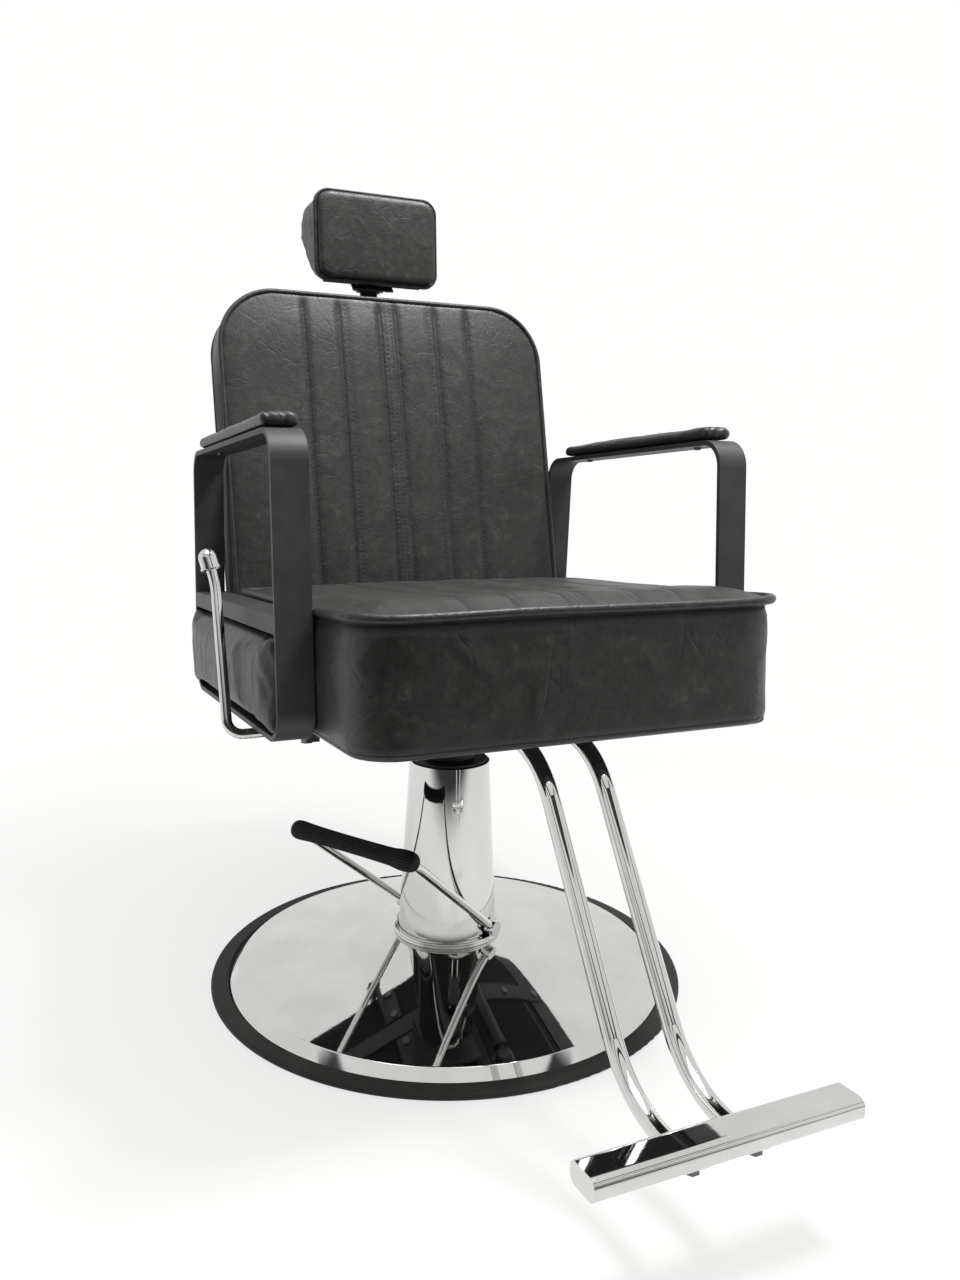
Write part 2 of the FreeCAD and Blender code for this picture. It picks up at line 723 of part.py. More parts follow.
def foot_bolt_holes(body):
    sketch = new_sketch(body, "XY_Plane")
    for angle in foot_bolt_places():
        circle(sketch, of("pump_bolt_circle") * math.cos(angle), of("pump_bolt_circle") * math.sin(angle),
               of("bolt_radius") + of("bolt_clear"))
    pocket(body, sketch, flange_top + of("plate_thickness"), reverse=True)


def base_dome():
    wall = of("dome_wall")
    run = dome_crest - of("dome_neck_radius")
    big = (run * run + of("dome_rise") * of("dome_rise")) / (2 * of("dome_rise"))
    lip = (of("dome_lip_width") * of("dome_lip_width")
           + of("dome_lip_height") * of("dome_lip_height")) / (2 * of("dome_lip_height"))
    under = big + wall
    neck_under = dome_crest_z + big - root(under * under - run * run)
    short = lip - wall
    sink = lip - of("dome_lip_height")
    rim_under = dome_crest + root(short * short - sink * sink)
    turned("dome", [
        (of("dome_neck_radius"), neck_under, under), (dome_crest, dome_crest_z - wall, -short),
        (rim_under, plate_top), (dome_rim, plate_top, lip), (dome_crest, dome_crest_z, -big),
        (of("dome_neck_radius"), dome_neck_z),
    ], "base_dome")


def shroud_ring():
    inner = shroud_radius_at(dome_neck_z) + of("loose")
    outer = inner + of("bead_depth")
    step = of("bead_height")
    turned("collar", [
        (inner, dome_neck_z), (outer, dome_neck_z, of("bead_radius")),
        (outer, dome_neck_z + step, of("bead_radius")), (outer, dome_neck_z + 2 * step),
        (inner, dome_neck_z + 2 * step),
    ], "shroud_ring")


def shroud_radius_at(height):
    drop = of("shroud_foot_radius") - of("shroud_top_radius")
    return of("shroud_foot_radius") - drop * (height - flange_top) / (of("shroud_top") - flange_top)


def pump_shroud():
    foot = of("shroud_foot_radius")
    top = of("shroud_top_radius")
    wall = of("shroud_wall")
    turned("shroud", [
        (foot - wall, flange_top), (foot, flange_top), (top, of("shroud_top")), (top - wall, of("shroud_top")),
    ], "pump_shroud", pump_frame, shaft_notches)


def shaft_notches(body):
    # Open at the foot, so that the shroud drops over the shaft.
    sketch = new_sketch(body, "XZ_Plane")
    half = of("pedal_shaft_radius") + of("notch_margin")
    box_loop(sketch, -half, half, flange_top - of("loose"), of("pedal_axis_height") + half)
    pocket(body, sketch, 4 * of("shroud_foot_radius"), symmetric=True)


def shroud_cap():
    plug = of("shroud_top_radius") - of("shroud_wall") - of("loose")
    foot = of("tank_top") + of("gland_flange")
    lid = of("shroud_top") + of("cap_height")
    well = of("ram_radius") + of("seal_width") + of("loose")
    lip = foot + of("seal_height") + of("loose")
    turned("cap", [
        (well, foot), (plug, foot), (plug, of("shroud_top")), (of("cap_radius"), of("shroud_top")),
        (of("cap_radius"), lid), (of("cap_bore"), lid), (of("cap_bore"), lip), (well, lip),
    ], "shroud_cap")


def pump_base():
    turned("casting", [
        (0, plate_top), (of("pump_flange_radius"), plate_top), (of("pump_flange_radius"), flange_top),
        (of("pump_core_radius"), flange_top), (of("pump_core_radius"), of("pump_core_top")),
        (0, of("pump_core_top")),
    ], "pump_base", pump_frame, pump_base_cuts)


def pump_base_cuts(body):
    axis = of("pedal_axis_height")
    sketch = new_sketch(body, "XZ_Plane")
    circle(sketch, 0, axis, of("pedal_shaft_radius") + of("running"))
    pocket(body, sketch, 3 * of("pump_core_radius"), symmetric=True)
    slot = new_sketch(body, "XZ_Plane")
    room = of("cam_slot_clear")
    box_loop(slot, -(of("pedal_shaft_radius") + room), of("pump_core_radius") + room,
             axis - of("cam_tip_radius") - of("cam_reach") * sine(of("cam_angle")) - room,
             axis + of("cam_slot_roof"))
    pocket(body, slot, of("cam_width") + 2 * of("loose"), symmetric=True)
    bore = new_sketch(body, "XY_Plane", axis)
    circle(bore, of("cam_reach"), 0, of("plunger_radius") + of("running"))
    pocket(body, bore, plunger_foot + of("plunger_length") + of("plunger_travel") - axis, reverse=True)
    sketch = new_sketch(body, "XY_Plane")
    for angle in foot_bolt_places():
        turn = angle - math.radians(of("pedal_turn_angle").number)
        circle(sketch, of("pump_bolt_circle") * math.cos(turn), of("pump_bolt_circle") * math.sin(turn),
               of("bolt_radius") + of("bolt_clear"))
    pocket(body, sketch, flange_top + of("plate_thickness"), reverse=True)


plunger_foot = (of("pedal_axis_height") - of("cam_reach") * sine(of("cam_angle"))
                + of("cam_tip_radius") + of("loose"))


def pump_tubes():
    tank = of("tank_radius")
    low = of("pump_core_top")
    turned("tank", tube_section(tank - of("tank_wall"), tank, low, of("tank_top")), "pump_tank")
    bore = of("cylinder_bore")
    turned("cylinder", tube_section(bore, bore + of("cylinder_wall"), low, of("tank_top") - of("gland_depth")),
           "pump_cylinder")
    inner = of("ram_radius") + of("running")
    low = of("tank_top") - of("gland_depth")
    lid = of("tank_top") + of("gland_flange")
    turned("gland", [
        (inner, low), (tank - of("tank_wall") - of("running"), low),
        (tank - of("tank_wall") - of("running"), of("tank_top")), (tank, of("tank_top")), (tank, lid),
        (inner, lid),
    ], "ram_guide")
    turned("wiper", tube_section(inner, of("ram_radius") + of("seal_width"), lid, lid + of("seal_height")),
           "wiper_seal")


def pump_bolts():
    parts = []
    for k, angle in enumerate(foot_bolt_places()):
        x = of("pump_bolt_circle").number * math.cos(angle)
        y = of("pump_bolt_circle").number * math.sin(angle)
        screw = bolt("foot_bolt_%d" % k, 0, 0, 0, of("pump_flange_height") + of("plate_thickness"))
        screw.Placement = at(x, y, flange_top, Rotation(Vector(1, 0, 0), 180))
        parts.append(screw)
    group("foot_bolts", parts, "pump_bolts")


# ---- ram ----

ram_foot = of("pump_core_top") + of("ram_rise") + of("ram_rise")
ram_shoulder = of("shroud_top") + of("cap_height") + of("ram_rise")
hub_foot = ram_shoulder + of("thrust_height") + of("loose")
bracket_bottom = hub_foot + of("hub_length")
bracket_floor_top = bracket_bottom + of("bracket_floor")
washer_foot = bracket_floor_top + of("loose")
nut_foot = washer_foot + of("washer_height")


def ram_parts():
    ram = of("ram_radius")
    spigot = of("spigot_radius")
    collar = ram_foot + of("piston_height")
    wall = of("cylinder_bore") - of("running")
    floor = wall - of("piston_groove_depth")
    low = ram_foot + (of("piston_height") - of("piston_groove")) / 2
    high = low + of("piston_groove")
    top = ram_shoulder + of("spigot_length")
    turned("ram", [
        (0, ram_foot), (wall, ram_foot), (wall, low), (floor, low), (floor, high), (wall, high),
        (wall, collar), (ram, collar), (ram, ram_shoulder), (spigot, ram_shoulder), (spigot, top), (0, top),
    ], "ram_rod")
    turned("piston_ring", tube_section(floor, wall, low, high), "piston_seal")
    turned("thrust", tube_section(spigot + of("loose"), of("thrust_radius"), ram_shoulder,
                                  ram_shoulder + of("thrust_height")), "thrust_washer")
    hexagon = doc.addObject("Part::Prism", "ram_hexagon")
    hexagon.Polygon = 6
    hexagon.setExpression("Circumradius", of("nut_corner_radius").text)
    hexagon.setExpression("Height", of("nut_height").text)
    hexagon.Placement = at(0, 0, nut_foot)
    flange = cylinder("ram_flange", of("washer_radius"), of("washer_height"), at(0, 0, washer_foot))
    thread = cylinder("ram_thread", spigot + of("running"), of("nut_height") + of("washer_height"),
                      at(0, 0, washer_foot))
    node(cut("ram_nut_blank", fuse("ram_nut_solid", [hexagon, flange]), thread), "ram_nut")


# ---- pedal, in the pump's frame: the shaft runs along Y and the pedal points to -X ----

pedal_rest = Placement(Vector(0, 0, of("pedal_axis_height").number),
                       Rotation(Vector(0, 1, 0), of("pedal_slope_angle").number))
pedal_plane = pump_frame.multiply(pedal_rest)


def pedal_shaft():
    body = new_body("shaft")
    sketch = new_sketch(body, "XZ_Plane")
    circle(sketch, 0, of("pedal_axis_height"), of("pedal_shaft_radius"))
    pad(body, sketch, 2 * of("pedal_shaft_half"), symmetric=True)
    finger = new_sketch(body, "XZ_Plane")
    drop = of("cam_angle")
    tip = of("cam_tip_radius")
    x = of("cam_reach") * cosine(drop)
    z = of("pedal_axis_height") - of("cam_reach") * sine(drop)
    axis = of("pedal_axis_height")
    loop(finger, [(0, axis - tip), (x, z - tip, tip + 0.001), (x, z + tip), (0, z + tip)])
    pad(body, finger, of("cam_width"), symmetric=True)
    ends = knuckle_solids("knuckle", of("pedal_axis_height"))
    node(fuse("shaft_whole", [body] + ends), "pedal_shaft", pump_frame)


def knuckle_solids(name, frame_height):
    # The two end cylinders of the pedal shaft, along Y.
    solids = []
    for k, side in enumerate((-1, 1)):
        middle = of("pedal_shaft_half") - of("knuckle_length") / 2
        start = middle * side - of("knuckle_length") / 2
        solids.append(cylinder("%s_%d" % (name, k), of("knuckle_radius"), of("knuckle_length"),
                               at(0, start, frame_height, TO_PLUS_Y)))
    return solids


def pedal_rod_and_grip():
    # The bent rod lies in the pedal's plane: from one knuckle out to -X, across, and back.
    splay = arctangent((of("pedal_half_width") - of("pedal_foot_half")) / of("pedal_reach"))
    bend = of("pedal_bend")
    start_x = of("pedal_shaft_radius")
    start_y = of("pedal_foot_half") + start_x * tangent(splay)
    eaten = bend * tangent((90 + splay) / 2)
    leg = (of("pedal_reach") - start_x) / cosine(splay) - eaten
    across = 2 * (of("pedal_half_width") - eaten)
    path = bent_path("pedal", (-start_x, start_y), [
        (leg, 180 - splay), bend, (across, size(270)), bend, (leg, 360 + splay),
    ], Placement())
    heading = Rotation(Vector(0, 0, 1), 180 - splay.number).multiply(TO_PLUS_X)
    section = round_section("pedal", of("pedal_rod_radius"), at(-start_x, start_y, 0, heading))
    rod = sweep("pedal", path, section)
    ends = fuse("cope", knuckle_solids("cope", size(0)))
    node(cut("pedal_bar", rod, ends), "pedal_rod", pedal_plane)
    half = of("pedal_half_width") + of("grip_overhang")
    sleeve = cylinder("grip_sleeve", of("grip_radius"), 2 * half,
                      at(-of("pedal_reach"), -half, 0, TO_PLUS_Y))
    doc.recompute()
    rounded = doc.addObject("Part::Fillet", "grip_round")
    rounded.Base = sleeve
    reach = of("grip_radius").number * 0.6
    rounded.Edges = [(k + 1, reach, reach) for k, edge in enumerate(sleeve.Shape.Edges)
                     if edge.Curve.TypeId == "Part::GeomCircle"]
    node(cut("grip", rounded, sweep("grip_core", path, section)), "pedal_grip", pedal_plane)


def pump_plunger():
    body = new_body("plunger")
    sketch = new_sketch(body, "XY_Plane", plunger_foot)
    circle(sketch, of("cam_reach"), 0, of("plunger_radius"))
    pad(body, sketch, of("plunger_length"))
    node(body, "pump_plunger", pump_frame)


# ---- seat, in the leaning frame ----

board_bottom = of("seat_bottom")
board_top = board_bottom + of("board_thickness")
mount_bottom = board_bottom - of("mount_thickness")
strap_bottom = board_bottom - of("strap_thickness")


def swivel_hub():
    bush = of("spigot_radius") + of("running")
    outer = bush + of("bush_wall")
    turned("hub", tube_section(outer, of("hub_radius"), hub_foot, bracket_bottom), "swivel_hub")
    turned("bush", tube_section(bush, outer, hub_foot, bracket_floor_top), "swivel_bush")


def hub_bracket():
    # A channel whose cheeks rise from a level floor to the leaning mount plate.
    body = new_body("channel")
    lean = of("lean_angle")
    rise = of("lean_height") + (mount_bottom - of("lean_height")) / cosine(lean)
    half = of("bracket_half_depth")
    slope = half * tangent(lean)
    sketch = new_sketch(body, "YZ_Plane")
    loop(sketch, [(-half, bracket_bottom), (half, bracket_bottom), (half, rise - slope), (-half, rise + slope)])
    pad(body, sketch, 2 * of("bracket_half_width"), symmetric=True)
    inside = new_sketch(body, "YZ_Plane")
    high = rise + 2 * slope
    box_loop(inside, -2 * half, 2 * half, bracket_floor_top, high)
    pocket(body, inside, 2 * (of("bracket_half_width") - of("bracket_wall")), symmetric=True)
    hole = new_sketch(body, "XY_Plane", bracket_bottom - 1)
    circle(hole, 0, 0, of("spigot_radius") + of("running") + of("bush_wall"))
    pocket(body, hole, of("bracket_floor") + 2, reverse=True)
    node(body, "hub_bracket")


def mount_bolt_places():
    return [(of("mount_bolt_x") * i, of("mount_bolt_y") * j) for i in (-1, 1) for j in (-1, 1)]


def clamp_bolt_places():
    rear = -(of("clamp_setback") + of("clamp_bolt_inset"))
    front = -(of("clamp_setback") + of("clamp_length") - of("clamp_bolt_inset"))
    return [(of("clamp_bolt_x") * i, y) for i in (-1, 1) for y in (rear, front)]


def strap_bolt_places():
    return [(of("strap_board_bolt") * i, y) for i in (-1, 1) for y in (-of("strap_front"), of("strap_rear"))]


def strap_arm_places():
    x = of("arm_inner") + of("arm_width") / 2
    return [(x * i, y) for i in (-1, 1) for y in (-of("strap_front"), of("strap_rear"))]


def bolt_holes(body, places, low, length, radius=None):
    sketch = new_sketch(body, "XY_Plane", low)
    for x, y in places:
        circle(sketch, x, y, radius or (of("bolt_radius") + of("bolt_clear")))
    pocket(body, sketch, length, reverse=True)


def mount_plate():
    body = new_body("mount")
    sketch = new_sketch(body, "XY_Plane", mount_bottom)
    box_loop(sketch, -of("mount_half_width"), of("mount_half_width"),
             -of("mount_half_depth"), of("mount_half_depth"))
    pad(body, sketch, of("mount_thickness"))
    bolt_holes(body, mount_bolt_places(), mount_bottom, of("mount_thickness"))
    node(body, "mount_plate", seat_frame)


def seat_outline(body, low, height, inset, rear):
    sketch = new_sketch(body, "XY_Plane", low)
    half = of("seat_half_width") - inset
    box_loop(sketch, -half, half, -(of("seat_front") - inset), rear - inset)
    pad(body, sketch, height)
    upright = Vector(0, 0, 1)
    fillet(body, lambda edge: along(edge, upright) and edge.CenterOfMass.y < 0, of("seat_corner") - inset)
    fillet(body, lambda edge: along(edge, upright) and edge.CenterOfMass.y > 0, of("seat_rear_corner") - inset)


def flange_bolt_places():
    return mount_bolt_places() + strap_bolt_places() + hinge_bolt_places() + strut_bolt_places()


def seat_board():
    body = new_body("board")
    seat_outline(body, board_bottom, of("board_thickness"), of("board_inset"), of("seat_rear"))
    places = flange_bolt_places() + clamp_bolt_places() + bearing_bolt_places()
    bolt_holes(body, places, board_bottom, of("bolt_bite") + of("bolt_clear"))
    node(body, "seat_board", seat_frame)


def seat_cushion():
    body = new_body("cushion")
    seat_outline(body, board_top, of("seat_top") - board_top, size(0), of("cushion_rear"))
    top = of("seat_top").number
    fillet(body, lambda edge: abs(edge.BoundBox.ZMin - top) < 1e-6, of("seat_edge_round"))
    node(body, "seat_cushion", seat_frame)


def seat_bolts():
    # Every M8 bolt under the seat, by what it holds: its places, the height of its head, its length.
    bite = of("bolt_bite")
    sheet_grip = of("mount_thickness")
    rows = [
        (flange_bolt_places(), mount_bottom, sheet_grip + bite),
        (clamp_bolt_places() + bearing_bolt_places(), board_bottom - of("clamp_height"),
         of("clamp_height") + bite),
        (strap_arm_places(), mount_bottom, sheet_grip + of("arm_bar") - 1),
        (bar_bolt_places(), bar_bottom - of("tab_thickness"),
         of("tab_thickness") + of("bar_wall") + of("bar_bolt_bite")),
    ]
    parts = []
    for places, low, length in rows:
        for x, y in places:
            parts.append(bolt("seat_bolt_%d" % len(parts), x, y, low, length))
    group("seat_bolt_group", parts, "seat_bolts", seat_frame)


def arm_straps():
    parts = []
    for k, middle in enumerate((-of("strap_front"), of("strap_rear"))):
        body = new_body("strap_%d" % k)
        sketch = new_sketch(body, "XY_Plane", strap_bottom)
        half = of("strap_width") / 2
        box_loop(sketch, -of("strap_half_length"), of("strap_half_length"), middle - half, middle + half)
        pad(body, sketch, of("strap_thickness"))
        places = [place for place in strap_bolt_places() + strap_arm_places()
                  if abs(place[1].number - middle.number) < 1]
        bolt_holes(body, places, strap_bottom, of("strap_thickness"))
        parts.append(body)
    group("strap_group", parts, "arm_straps", seat_frame)


# ---- arms, drawn on the left and mirrored ----

arm_slope = (of("arm_rear_foot") - of("arm_rear_top")) / (of("arm_top") - board_bottom)
arm_middle = of("arm_inner") + of("arm_width") / 2


def arm_rear_outer(height):
    # Outer face of the sloping rear leg at a height.
    return of("arm_rear_foot") - arm_slope * (height - board_bottom)


def arm_rear_inner(height):
    # Inner face of the same leg.
    return arm_rear_outer(height) - of("arm_bar") * root(1 + arm_slope * arm_slope)


def arm_block(name, inset, start, width):
    # The arm's outline as a solid: the bar's outside, or its window when inset by the bar.
    body = new_body(name)
    low = board_bottom + inset
    high = of("arm_top") - inset
    front = -of("arm_front") + inset
    rear = arm_rear_inner if inset.number else arm_rear_outer
    sketch = new_sketch(body, "YZ_Plane", start)
    loop(sketch, [(front, low), (rear(low), low), (rear(high), high), (front, high)])
    pad(body, sketch, width)
    sideways = Vector(1, 0, 0)
    middle = (low.number + high.number) / 2
    fillet(body, lambda edge: along(edge, sideways) and edge.CenterOfMass.z > middle,
           of("arm_top_round") - inset)
    fillet(body, lambda edge: along(edge, sideways) and edge.CenterOfMass.z < middle,
           of("arm_foot_round") - inset)
    return body


def arm_frames():
    bar = of("arm_bar")
    outside = arm_block("arm", size(0), of("arm_inner"), of("arm_width"))
    bolt_holes(outside, [place for place in strap_arm_places() if place[0].number > 0], board_bottom, bar)
    bolt_holes(outside, [(arm_middle, y) for y in pad_screw_places()], of("arm_top") - bar, bar,
               of("pad_screw_radius") + of("bolt_clear"))
    window = arm_block("arm_window", bar, of("arm_inner") - 1, of("arm_width") + 2)
    left = cut("arm_left", outside, window)
    node(left, "arm_frame_left", seat_frame)
    node(mirrored("arm_right", left), "arm_frame_right")


def pad_screw_places():
    return [-(of("arm_pad_front") - of("pad_screw_inset")), of("arm_pad_rear") - of("pad_screw_inset")]


def both_sides(name, body, label):
    # A left piece and its mirror image in one node.
    group(name, [body, mirrored(name + "_twin", body)], label, seat_frame)


def arm_rails():
    body = new_body("rail")
    top = of("rail_top")
    low = top - of("rail_height")
    front = -of("arm_front") + of("arm_bar")
    sketch = new_sketch(body, "YZ_Plane", of("arm_inner"))
    loop(sketch, [(front, low), (arm_rear_inner(low), low), (arm_rear_inner(top), top), (front, top)])
    pad(body, sketch, of("arm_width"))
    hollow = new_sketch(body, "XZ_Plane")
    wall = of("rail_wall")
    box_loop(hollow, of("arm_inner") + wall, of("arm_inner") + of("arm_width") - wall, low + wall, top - wall)
    pocket(body, hollow, 4 * of("arm_front"), symmetric=True)
    both_sides("rails", body, "arm_rails")


def side_pads():
    body = new_body("side_pad")
    gap = of("loose")
    low = board_bottom + of("arm_bar") + gap
    high = of("rail_top") - of("rail_height") - gap
    front = -of("arm_front") + of("arm_bar") + gap
    inner = of("arm_inner") + gap
    sketch = new_sketch(body, "YZ_Plane", inner)
    loop(sketch, [(front, low), (arm_rear_inner(low) - gap, low), (arm_rear_inner(high) - gap, high),
                  (front, high)])
    pad(body, sketch, of("side_pad_bulge"))
    sideways = Vector(1, 0, 0)
    middle = (low.number + high.number) / 2
    fillet(body, lambda edge: along(edge, sideways) and edge.CenterOfMass.z < middle, of("arm_foot_round"))
    fillet(body, lambda edge: along(edge, sideways) and edge.CenterOfMass.z > middle, of("side_pad_corner"))
    outer = (inner + of("side_pad_bulge")).number
    fillet(body, lambda edge: abs(edge.BoundBox.XMin - outer) < 1e-6, of("side_pad_round"))
    both_sides("side_pad_pair", body, "side_pads")


def arm_pads():
    body = new_body("arm_pad")
    low = of("arm_top")
    sketch = new_sketch(body, "XY_Plane", low)
    half = of("arm_pad_width") / 2
    box_loop(sketch, arm_middle - half, arm_middle + half, -of("arm_pad_front"), of("arm_pad_rear"))
    pad(body, sketch, of("arm_pad_height"))
    upright = Vector(0, 0, 1)
    fillet(body, lambda edge: along(edge, upright), of("arm_pad_corner"))
    top = (low + of("arm_pad_height")).number
    fillet(body, lambda edge: abs(edge.BoundBox.ZMin - top) < 1e-6, of("arm_pad_round"))
    screws = [(arm_middle, y) for y in pad_screw_places()]
    bolt_holes(body, screws, low, of("pad_screw_bite") + of("bolt_clear"),
               of("pad_screw_radius") + of("bolt_clear"))
    both_sides("arm_pad_pair", body, "arm_pads")


def arm_pad_screws():
    low = of("arm_top")
    parts = []
    foot = low - of("arm_bar")
    for i in (-1, 1):
        for y in pad_screw_places():
            parts.append(bolt("pad_screw_%d" % len(parts), arm_middle * i, y, foot,
                              of("arm_bar") + of("pad_screw_bite"), of("pad_screw_radius"),
                              of("pad_screw_head"), of("pad_screw_head_height")))
    group("pad_screws", parts, "arm_pad_screws", seat_frame)


# ---- footrest ----

toe_y = (of("tube_rear") + of("tube_straight") + of("tube_upper_bend") * sine(of("tube_angle"))
         + of("tube_run") * cosine(of("tube_angle")) + of("tube_lower_bend") * sine(of("tube_angle"))
         + of("tube_toe"))
tube_z = board_bottom - of("tube_gap") - of("tube_radius")
toe_z = (tube_z - (of("tube_upper_bend") + of("tube_lower_bend")) * (1 - cosine(of("tube_angle")))
         - of("tube_run") * sine(of("tube_angle")))
tab_y = toe_y + of("tab_taper")
tab_end = tab_y + of("tab_length")
bar_bottom = toe_z + of("tab_thickness") / 2
bar_rear = tab_y + of("bar_gap")


def footrest_tubes():
    slope = of("tube_angle")
    legs = [(of("tube_straight"), size(180)), of("tube_upper_bend"), (of("tube_run"), 180 + slope),
            of("tube_lower_bend"), (of("tube_toe"), size(180))]
    path = bent_path("tube", (-of("tube_rear"), tube_z), legs, Placement(Vector(0, 0, 0), YZ))
    upright = Rotation(Vector(1, 0, 0), 90)
    start = at(0, -of("tube_rear"), tube_z, upright)
    outer = sweep("tube_outer", path, round_section("tube_outer", of("tube_radius"), start))
    core = sweep("tube_core", path,
                 round_section("tube_core", of("tube_radius") - of("tube_wall"), start))
    ring = round_section("squeeze_start", of("tube_radius"), at(0, -toe_y, toe_z, upright))
    flat = doc.addObject("Sketcher::SketchObject", "squeeze_end_section")
    flat.Placement = at(0, -tab_y, toe_z, upright)
    half = of("tab_half_width")
    deep = of("tab_thickness") / 2
    box_loop(flat, -half, half, -deep, deep)
    squeeze = doc.addObject("Part::Loft", "squeeze")
    squeeze.Sections = [ring, flat]
    squeeze.Solid = True
    squeeze.Ruled = True
    tab = doc.addObject("Part::Box", "tab")
    tab.setExpression("Length", (2 * half).text)
    tab.setExpression("Width", of("tab_length").text)
    tab.setExpression("Height", of("tab_thickness").text)
    tab.Placement = at(-half, -tab_end, toe_z - deep)
    solid = fuse("tube_solid", [cut("tube_hollow", outer, core), squeeze, tab])
    hole = cylinder("tab_hole", of("bolt_radius") + of("bolt_clear"), of("tab_thickness") + 2,
                    at(0, -(tab_end - of("tab_bolt")), toe_z - deep - 1))
    whole = cut("tube", solid, hole)
    for label, side in (("footrest_tube_left", 1), ("footrest_tube_right", -1)):
        copy = doc.addObject("Part::Compound", label + "_piece")
        copy.Links = [whole]
        node(copy, label, seat_frame.multiply(at(of("tube_spread") * side, 0, 0)))


def footrest_clamp():
    body = new_body("clamp")
    low = board_bottom - of("clamp_height")
    sketch = new_sketch(body, "XY_Plane", low)
    box_loop(sketch, -of("clamp_half_width"), of("clamp_half_width"),
             -(of("clamp_setback") + of("clamp_length")), -of("clamp_setback"))
    pad(body, sketch, of("clamp_height"))
    bores = new_sketch(body, "XZ_Plane")
    for side in (-1, 1):
        circle(bores, of("tube_spread") * side, tube_z, of("tube_radius"))
    pocket(body, bores, 4 * of("clamp_setback"), symmetric=True)
    bolt_holes(body, clamp_bolt_places(), low, of("clamp_height"))
    node(body, "footrest_clamp", seat_frame)


def bar_bolt_places():
    return [(of("tube_spread") * side, -(tab_end - of("tab_bolt"))) for side in (-1, 1)]


def bar_section(sketch, inset):
    rounded_loop(sketch, -(bar_rear + of("bar_width") - inset), -(bar_rear + inset),
                 bar_bottom + inset, bar_bottom + of("bar_height") - inset, of("bar_round") - inset)


def foot_bar():
    body = new_body("bar")
    length = 2 * (of("bar_half_length") - of("cap_thickness"))
    outside = new_sketch(body, "YZ_Plane")
    bar_section(outside, size(0))
    pad(body, outside, length, symmetric=True)
    hollow = new_sketch(body, "YZ_Plane")
    bar_section(hollow, of("bar_wall"))
    pocket(body, hollow, length, symmetric=True)
    bolt_holes(body, bar_bolt_places(), bar_bottom, of("bar_wall") + 1)
    node(body, "foot_bar", seat_frame)


def rounded_loop(sketch, left, right, low, high, radius):
    loop(sketch, [
        (left + radius, low), (right - radius, low, radius), (right, low + radius),
        (right, high - radius, radius), (right - radius, high), (left + radius, high, radius),
        (left, high - radius), (left, low + radius, radius),
    ])


def foot_bar_caps():
    body = new_body("bar_cap")
    face = of("bar_half_length") - of("cap_thickness")
    sketch = new_sketch(body, "YZ_Plane", face)
    bar_section(sketch, size(0))
    pad(body, sketch, of("cap_thickness"))
    plug = new_sketch(body, "YZ_Plane", face)
    bar_section(plug, of("bar_wall") + of("running"))
    pad(body, plug, of("cap_plug"), reverse=True)
    both_sides("bar_caps", body, "foot_bar_caps")


# ---- recline mechanism, in the leaning frame ----

cheek_inner = of("hinge_x") - of("back_bar_thickness") / 2 - of("hinge_gap") - of("hinge_cheek")
flange_middle = cheek_inner + of("hinge_cheek") - of("hinge_flange_width") / 2 - of("hinge_cheek") / 2
flange_bottom = board_bottom - of("strap_thickness")


def hinge_bolt_places():
    ends = (of("hinge_flange_front") + of("hinge_bolt_inset"),
            of("hinge_flange_rear") - of("hinge_bolt_inset"))
    return [(flange_middle * side, y) for side in (-1, 1) for y in ends]


def strut_bolt_places():
    x = of("hinge_x") + of("strut_bracket_bolt")
    reach = of("strut_bracket_half") - of("hinge_bolt_inset")
    return [(x, -of("strut_front") - reach), (x, -of("strut_front") + reach)]


def bearing_places():
    return [-of("bearing_outer_x"), of("bearing_inner_x")]


def bearing_bolt_places():
    return [(x, -of("lever_shaft_y") + of("bearing_bolt")) for x in bearing_places()]


def hinge_brackets():
    body = new_body("hinge_bracket")
    outer = cheek_inner + of("hinge_cheek")
    flange = new_sketch(body, "XY_Plane", flange_bottom)
    box_loop(flange, outer - of("hinge_flange_width"), outer, of("hinge_flange_front"),
             of("hinge_flange_rear"))
    pad(body, flange, of("strap_thickness"))
    cheek = new_sketch(body, "YZ_Plane", cheek_inner)
    boss = of("hinge_boss")
    y = of("hinge_y")
    z = of("hinge_z")
    loop(cheek, [(of("hinge_flange_front"), flange_bottom), (y, z - boss, boss), (y + boss, z, boss),
                 (y, z + boss), (y - boss, z + boss), (of("seat_rear"), board_bottom),
                 (of("hinge_flange_front"), board_bottom)])
    pad(body, cheek, of("hinge_cheek"))
    bore = new_sketch(body, "YZ_Plane", cheek_inner)
    circle(bore, y, z, of("hinge_pin_radius"))
    pocket(body, bore, of("hinge_cheek"), reverse=True)
    places = [place for place in hinge_bolt_places() if place[0].number > 0]
    bolt_holes(body, places, flange_bottom, of("strap_thickness"))
    both_sides("hinge_bracket_pair", body, "hinge_brackets")


def hinge_pin():
    # The left hinge pin, with its head outside the back bar.
    start = cheek_inner - of("hinge_pin_end")
    end = of("hinge_x") + of("back_bar_thickness") / 2 + of("hinge_gap")
    stem = cylinder("hinge_pin_stem", of("hinge_pin_radius"), end - start,
                    at(start, of("hinge_y"), of("hinge_z"), TO_PLUS_X))
    head = cylinder("hinge_pin_cap", of("hinge_pin_head"), of("hinge_pin_end"),
                    at(end, of("hinge_y"), of("hinge_z"), TO_PLUS_X))
    return fuse("hinge_pin", [stem, head])


def seat_pins():
    left = hinge_pin()
    front = strut_pin("strut_front_pin", -of("strut_front"), of("strut_front_z"),
                      of("strut_eye_width") / 2 + of("hinge_gap") + of("fork_cheek"))
    group("seat_pin_group", [left, mirrored("hinge_pin_twin", left), front], "seat_pins", seat_frame)


